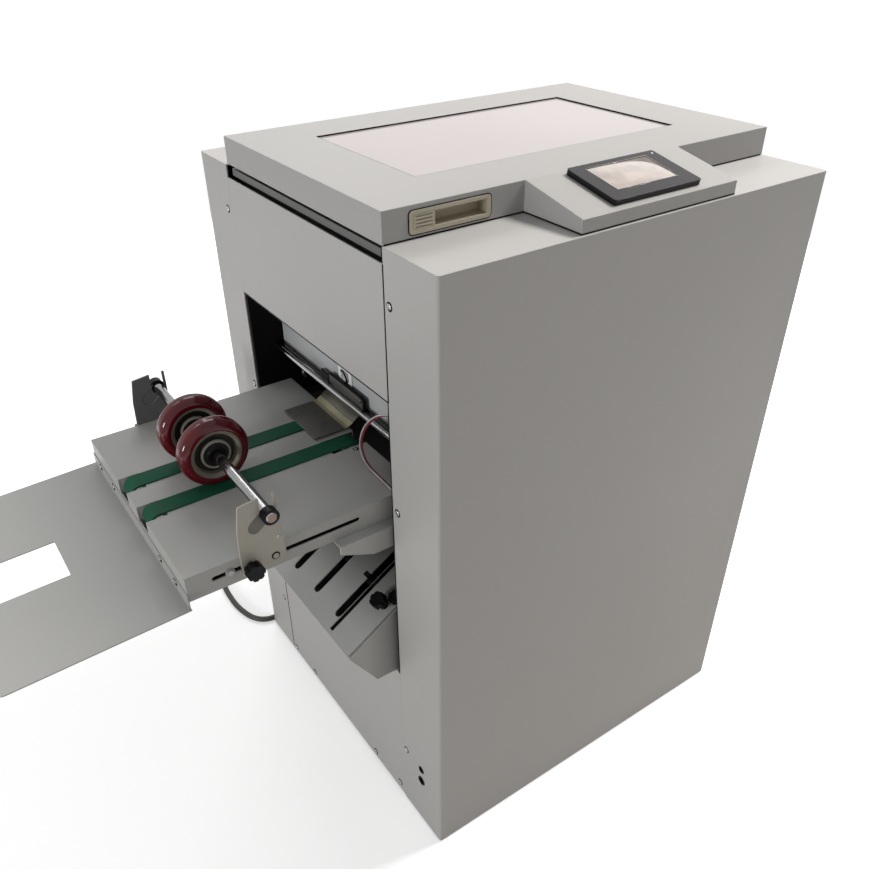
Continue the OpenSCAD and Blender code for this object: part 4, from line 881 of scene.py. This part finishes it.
# Lid: screen on the console, dark lining round the pane, a black strip under the front as a painted
# shadow line, dark edge round the latch

LID_FRONT = 106
CONSOLE_X, CONSOLE_FRONT, CONSOLE_LOW = (201, 463), LID_LOW.y, 1018
# The pane's opening in the lid
PANE_X, PANE_Y = (103, 553), (195, 446)
# The screen's middle up the console, and the glass's half sizes, height and shift up the slope from there
SCREEN_Y, GLASS_X, GLASS_Y, GLASS_Z, GLASS_UP = 57.04, 50.6, 28.1, (6.25, 6.7), 5
LAMP_PLACE = (66, 36, 0)


def make_screen():
    low, high = node_box("touch_screen")
    rise, run = LID_HIGH.z - CONSOLE_LOW, LID_FRONT - CONSOLE_FRONT
    height = CONSOLE_LOW + rise * (SCREEN_Y - CONSOLE_FRONT) / run
    place = at((low.x + high.x) / 2, SCREEN_Y, height)
    turn = Matrix.Translation(place) @ Matrix.Rotation(math.atan2(rise, run), 4, "X")
    x, y = (-GLASS_X, GLASS_X), (GLASS_UP - GLASS_Y, GLASS_UP + GLASS_Y)
    low, high = (Vector(corner) * MM for corner in zip(x, y, GLASS_Z))
    blocks("screen_panel", [(low, high)], 0.15, "lid", glass, turn)
    wall, clear = 1.6, 0.2
    x, y = grown(x, wall + clear), grown(y, wall + clear)
    ring_of_blocks("screen_frame", x, y, (6.9, 7.25), wall, 0.12, turn, dark_glass)
    bm = bmesh.new()
    outline = [(0, 6.8), (1.4, 6.8), (1.4, 7.2), (0.9, 7.5), (0, 7.6)]
    lathe(bm, outline, turn @ Matrix.Translation(Vector(LAMP_PLACE) * MM), 20)
    piece("screen_lamp", bm, "lid", white_plastic)


def make_pane_lining():
    clear, wall, soft = 0.05, 0.9, 0.15
    z = node_box("lid_window")[1].z + 0.02, LID_HIGH.z - 0.1
    ring_of_blocks("pane_lining", grown(PANE_X, -clear), grown(PANE_Y, -clear), z, wall, soft,
                   Matrix.Translation(at(0, 0, 0)), rubber)


def make_lid_shadow_strip():
    """A black strip along the lower edge of the lid's front and of the console, standing in for the
    shadow line under them.
    """
    left, right = CONSOLE_X
    proud, deep, end, soft = 0.15, 1.2, 2, 0.1
    low, high = LID_LOW.z - 0.7, LID_LOW.z + 1.2
    corners = []
    for x, y in (((LID_LOW.x + end, left), LID_FRONT), ((right, LID_HIGH.x - end), LID_FRONT),
                 (CONSOLE_X, CONSOLE_FRONT)):
        corners.append((at(x[0], y - proud, low), at(x[1], y + deep, high)))
    for x in ((left - proud, left + deep), (right - deep, right + proud)):
        corners.append((at(x[0], CONSOLE_FRONT, low), at(x[1], LID_FRONT, high)))
    blocks("lid_shadow_strip", corners, soft, "lid", rubber)


def make_latch_edge():
    low, high = node_box("lid_latch")
    x, z = (low.x, high.x), (low.z, high.z)
    out, over = 1.2, 0.2
    outer = rounded_outline(grown(x, out), grown(z, out), 5.7)
    inner = rounded_outline(grown(x, -over), grown(z, -over), 4.4)
    frame_plate("latch_edge", outer, inner, "y", (LID_FRONT - 0.8, LID_FRONT - 0.02), "lid", rubber)


make_screen()
make_pane_lining()
make_lid_shadow_strip()
make_latch_edge()


# Booklet exit: sensor plate on the rail, its bracket and hook, a block on the rail, tape on the flap

PLATE_X, PLATE_Y, PLATE_Z, PLATE_R = 46.2, (253, 358), (699, 723), 5
PLATE_SCREWS = ((263, 717), (349, 704))
HOLDER_X, HOLDER_Y, HOLDER_Z = (53.6, 55.95), (299, 338), (719, 743)
HOLE_Y, HOLE_Z = (307, 330), (724, 738)
HOOK_ROUTE = [(54.4, 331, 733), (53.6, 326, 736), (52.6, 319, 735), (52.2, 313, 730), (52.4, 311, 724),
              (53, 314, 720), (54.2, 319, 719.5)]
HOOK_R = 1.3
BLOCK_LOW, BLOCK_HIGH, BLOCK_SCREW = (45.6, 436, 677), (51.5, 452, 694.2), (444, 685)
# The flap's top, and where and how steeply, in degrees, it bends up
FLAP_TOP, FLAP_BEND, FLAP_SLOPE = 646, 50, 35


def make_sensor_plate():
    edge, lap = 2.6, 1.5
    outer = rounded_outline(PLATE_Y, PLATE_Z, PLATE_R)
    inner = rounded_outline(grown(PLATE_Y, -edge), grown(PLATE_Z, -edge), PLATE_R - 2)
    ends = PLATE_X - 0.8, PLATE_X + 2.7
    frame_plate("sensor_plate_edge", outer, inner, "x", ends, "machine", rubber)
    face = rounded_outline(grown(PLATE_Y, -lap), grown(PLATE_Z, -lap), PLATE_R - 1)
    plate("sensor_plate", face, "x", (PLATE_X, PLATE_X + 2.2), "machine", sensor_face)
    screws("sensor_screws", [at(PLATE_X, y, z) for y, z in PLATE_SCREWS], (-1, 0, 0), size=0.5)


def make_sensor_bracket():
    outer = rounded_outline(HOLDER_Y, HOLDER_Z, 2)
    inner = rounded_outline(HOLE_Y, HOLE_Z, 1)
    frame_plate("sensor_bracket", outer, inner, "x", HOLDER_X, "machine", white_plastic)


def make_hook():
    """A bent black wire as a closed mesh tube."""
    points = smooth([at(*p) for p in HOOK_ROUTE], 5)
    bm = bmesh.new()
    rings = []
    for i, place in enumerate(points):
        along = (points[min(i + 1, len(points) - 1)] - points[max(i - 1, 0)]).normalized()
        side = along.cross(Vector((1, 0, 0))).normalized()
        turn = Matrix((side, along.cross(side), along)).transposed().to_4x4()
        rings.append(round_points(bm, HOOK_R, 0, Matrix.Translation(place) @ turn, 10))
    for low, high in zip(rings, rings[1:]):
        join(bm, low, high)
    for ring in (rings[0], rings[-1]):
        bm.faces.new(ring)
    piece("sensor_hook", bm, "machine", rubber)


def make_rail_block():
    blocks("rail_block", [(at(*BLOCK_LOW), at(*BLOCK_HIGH))], 0.8, "machine", rubber)
    screws("rail_screw", [at(BLOCK_LOW[0], *BLOCK_SCREW)], (-1, 0, 0), size=0.6)


def make_flap_tape():
    """A thin strip that follows the flap over its bend."""
    slope = math.tan(math.radians(FLAP_SLOPE))
    # Distance along from the bend, and height over the flap's top
    bent = [(-6, 0), (-4, 0), (-2, 0), (-0.7, 0.05), (0.3, 0.4), (4, 4 * slope), (8, 8 * slope)]
    line = [(FLAP_BEND + x, FLAP_TOP + z) for x, z in bent]
    low, high = node_box("exit_flap")
    over, under_side, top_side = 0.4, 0.05, 0.35
    bm = bmesh.new()
    rows = []
    for y in grown((low.y, high.y), over):
        for lift in (under_side, top_side):
            rows.append([bm.verts.new(at(x, y, z + lift)) for x, z in line])
    for k in range(len(line) - 1):
        for i, j in ((0, 1), (1, 3), (3, 2), (2, 0)):
            bm.faces.new((rows[i][k], rows[i][k + 1], rows[j][k + 1], rows[j][k]))
    for k in (0, -1):
        bm.faces.new((rows[0][k], rows[1][k], rows[3][k], rows[2][k]))
    piece("flap_tape", bm, "machine", tape)


make_sensor_plate()
make_sensor_bracket()
make_hook()
make_rail_block()
make_flap_tape()


# Table: screw beside the front belt, and the fasteners on the shaft brackets

TABLE_SCREW = (31, 258)
PIN_X, NUT_X = SHAFT.x + 3, SHAFT.x - 58
RIVET_X, RIVET_Z = SHAFT.x + 9.3, 653.2

screws("table_screw", [at(*TABLE_SCREW, TABLE_HIGH.z)], (0, 0, 1), size=0.6)


def make_bracket_fasteners(side_name, bracket_y, table_y, out):
    """A ring on the guide pin, a rivet, and a nut on its washer at the table's side."""
    ring = [(4.05, 0), (5.6, 0), (5.6, 0.7), (5.0, 1.1), (4.05, 1.1)]
    bm = bmesh.new()
    ring_lathe(bm, ring, facing((0, out, 0), at(PIN_X, bracket_y, SLOT_Z)), 32)
    piece("pin_ring_" + side_name, bm, "carriage", rubber)
    rivet = at(RIVET_X, bracket_y, RIVET_Z)
    screws("bracket_rivet_" + side_name, [rivet], (0, out, 0), "carriage", 0.55, ringed=False)
    washer = [(2.6, 0.02), (6.4, 0.02), (6.4, 0.8), (6.0, 1.1), (2.6, 1.1)]
    nut = [(0, 1.0), (4.6, 1.0), (4.9, 1.4), (4.9, 2.6), (4.5, 3.0), (0, 3.0)]
    turn = facing((0, out, 0), at(NUT_X, table_y, SLOT_Z))
    bm = bmesh.new()
    ring_lathe(bm, washer, turn, 36)
    lathe(bm, nut, turn @ Matrix.Rotation(0.3, 4, "Z"), 6)
    piece("guide_nut_" + side_name, bm, "carriage", dull_zinc, angle=25)


make_bracket_fasteners("front", BRACKET_FRONT, TABLE_LOW.y, -1)
make_bracket_fasteners("rear", BRACKET_REAR, TABLE_HIGH.y, 1)


# Black sheets under the belts and behind the side slots as painted shade in the openings, and blanks in
# the bracket slots' lower legs, painted darker as shade

SHADE_SHEET_X, SHADE_SHEET_Y, SHADE_SHEET_Z = (TABLE_LOW.x + 4, TABLE_HIGH.x - 5), (262, 388), (606.2, 607.4)
SHADE_SHEET_LIP, SHADE_SHEET_WALL = (607.2, 612), 1
LINER_X, LINER_Y, LINER_T = (SHADE_SHEET_X[0], -30), (136.9, 504.3), 0.8
# A lower and an upper strip, which overlap
LINER_STRIPS = ((606, 632), (631, 639.8))


def make_shade_sheets():
    # Black sheets that paint shade under the belts and behind the side slots
    soft = 0.2
    left, right = SHADE_SHEET_X
    front, rear = SHADE_SHEET_Y
    walls = ((SHADE_SHEET_Y, SHADE_SHEET_Z), ((front, front + SHADE_SHEET_WALL), SHADE_SHEET_LIP),
             ((rear - SHADE_SHEET_WALL, rear), SHADE_SHEET_LIP))
    corners = [(at(left, y[0], z[0]), at(right, y[1], z[1])) for y, z in walls]
    blocks("belt_shade_sheet", corners, soft, "machine", rubber)
    left, right = LINER_X
    for side_name, y in zip(("front", "rear"), LINER_Y):
        corners = [(at(left, y, low), at(right, y + LINER_T, high)) for low, high in LINER_STRIPS]
        blocks("slot_shade_liner_" + side_name, corners, soft, "machine", rubber)


def make_slot_blanks():
    """The leg runs down and out from the shaft; the blank leaves room for the shaft."""
    leg, half, clear, thick, sunk, steps = Vector((-18, -15)), 9.4, 9.45, 2.2, 0.4, 12
    away = math.atan2(leg.y, leg.x)
    side = math.asin(half / clear)
    outline = []
    for k in range(steps + 1):
        a = away + math.pi * (k / steps - 0.5)
        outline.append((leg.x + half * math.cos(a), leg.y + half * math.sin(a)))
    for k in range(steps + 1):
        a = away + side * (1 - 2 * k / steps)
        outline.append((clear * math.cos(a), clear * math.sin(a)))
    outline = [(SHAFT.x + u, SHAFT.z + v) for u, v in outline]
    # Each blank is painted darker than its bracket, as the shade in its slot
    for side_name, y, material in (("front", BRACKET_FRONT + sunk, front_blank_painted_shade),
                                   ("rear", BRACKET_REAR - sunk - thick, rear_blank_painted_shade)):
        plate("slot_blank_" + side_name, outline, "y", (y, y + thick), "carriage", material)


make_shade_sheets()
make_slot_blanks()


# Wire wound on the spools

def make_winding(side_name):
    body = "spool_" + side_name
    half, pitch, inner, valley, crest = 16.6, 1.66, 34.9, 40.2, 40.8
    outline = [(inner, -half)]
    for i in range(round(2 * half / pitch)):
        h = -half + (i + 0.5) * pitch
        outline += [(valley, h - 0.5), (crest, h - 0.2), (crest, h + 0.2), (valley, h + 0.5)]
    outline.append((inner, half))
    bm = bmesh.new()
    ring_lathe(bm, outline, facing((0, 1, 0), at(*axle(body + "_spin"))), 48)
    piece("winding_" + side_name, bm, body, stitch_wire, angle=60)


make_winding("front")
make_winding("rear")


# Floor, background and lamps, in metres and watts

FLOOR_SIZE = 6
# The floor's own colour as it lights the machine, and as it is seen
FLOOR_DULL, FLOOR_SEEN = (0.47, 0.445, 0.42, 1), (0.85, 0.85, 0.85, 1)
# The floor's glow near the machine and far out, and the distances between which it rises
GLOW_NEAR, GLOW_FAR, GLOW_START, GLOW_END = 0.42, 1.0, 1.0, 2.6
SURROUND_LIGHT, SURROUND_SEEN = 0.34, 1.0
WHITE, WARM, WARMER = (1, 1, 1), (1, 0.955, 0.92), (1, 0.94, 0.88)
# Name, place, aim, width and height, power and colour
LAMPS = (
    ("key", (2.0, -0.4, 3.2), (0.2, 0, 0.9), (0.9, 0.9), 110, WARM),
    ("left", (-3.2, -0.5, 1.2), (0, 0, 0.6), (0.6, 0.6), 42, WHITE),
    ("back", (1.0, 2.6, 3.3), (0.2, 0, 0.5), (1.8, 1.4), 32, WHITE),
    ("strip", (-0.84, 2.05, 2.8), (-0.24, 0, 0.69), (0.9, 0.14), 6, WHITE),
    ("front", (0.8, -3.4, 1.4), (0.2, 0, 0.5), (2.2, 1.6), 3, WARMER),
)


def ray_seen(tree):
    """1 for rays that show the background: from the camera, a mirror or glass."""
    path = add(tree, "ShaderNodeLightPath").outputs
    mirrored = math_node(tree, "MAXIMUM", path["Is Glossy Ray"], path["Is Transmission Ray"])
    return math_node(tree, "MAXIMUM", path["Is Camera Ray"], mirrored)


def bare_tree(owner):
    owner.use_nodes = True
    owner.node_tree.nodes.clear()
    return owner.node_tree


def show(tree, kind, unseen, seen):
    """Ends a tree with one shader for rays that show the background and another for the rest."""
    mixed = add(tree, "ShaderNodeMixShader", {0: ray_seen(tree), 1: unseen, 2: seen})
    add(tree, kind, {"Surface": mixed.outputs[0]})


def floor_material():
    """White where it is seen, with the machine's shadow, and duller as it lights the machine."""
    material = bpy.data.materials.new("floor")
    tree = bare_tree(material)
    away = distance(tree, place_value(tree, "X"), place_value(tree, "Y"))
    glow = spread(tree, away, GLOW_NEAR, GLOW_FAR, GLOW_START, GLOW_END)
    lit = add(tree, "ShaderNodeEmission", {"Strength": glow}).outputs[0]
    dull, pale = (add(tree, "ShaderNodeBsdfDiffuse", {"Color": colour}).outputs[0]
                  for colour in (FLOOR_DULL, FLOOR_SEEN))
    seen = add(tree, "ShaderNodeAddShader", {0: pale, 1: lit}).outputs[0]
    show(tree, "ShaderNodeOutputMaterial", dull, seen)
    return material


def make_floor():
    bpy.ops.mesh.primitive_plane_add(size=FLOOR_SIZE, location=(0, 0, 0))
    floor = bpy.context.object
    floor.name = "floor"
    floor.data.materials.append(floor_material())


def make_surround():
    """A white background that gives soft light."""
    scene.world = bpy.data.worlds.new("world")
    tree = bare_tree(scene.world)
    shaders = []
    for strength in (SURROUND_LIGHT, SURROUND_SEEN):
        inputs = {"Color": (*WHITE, 1), "Strength": strength}
        shaders.append(add(tree, "ShaderNodeBackground", inputs).outputs[0])
    show(tree, "ShaderNodeOutputWorld", *shaders)


def make_lamp(name, place, aim, size, power, colour):
    data = bpy.data.lights.new(name, "AREA")
    data.shape = "RECTANGLE"
    data.size, data.size_y = size
    data.energy = power
    data.color = colour
    obj = bpy.data.objects.new(name, data)
    obj.location = place
    obj.rotation_mode = "QUATERNION"
    obj.rotation_quaternion = (Vector(aim) - Vector(place)).to_track_quat("-Z", "Y")
    scene.collection.objects.link(obj)


make_floor()
make_surround()
for row in LAMPS:
    make_lamp(*row)
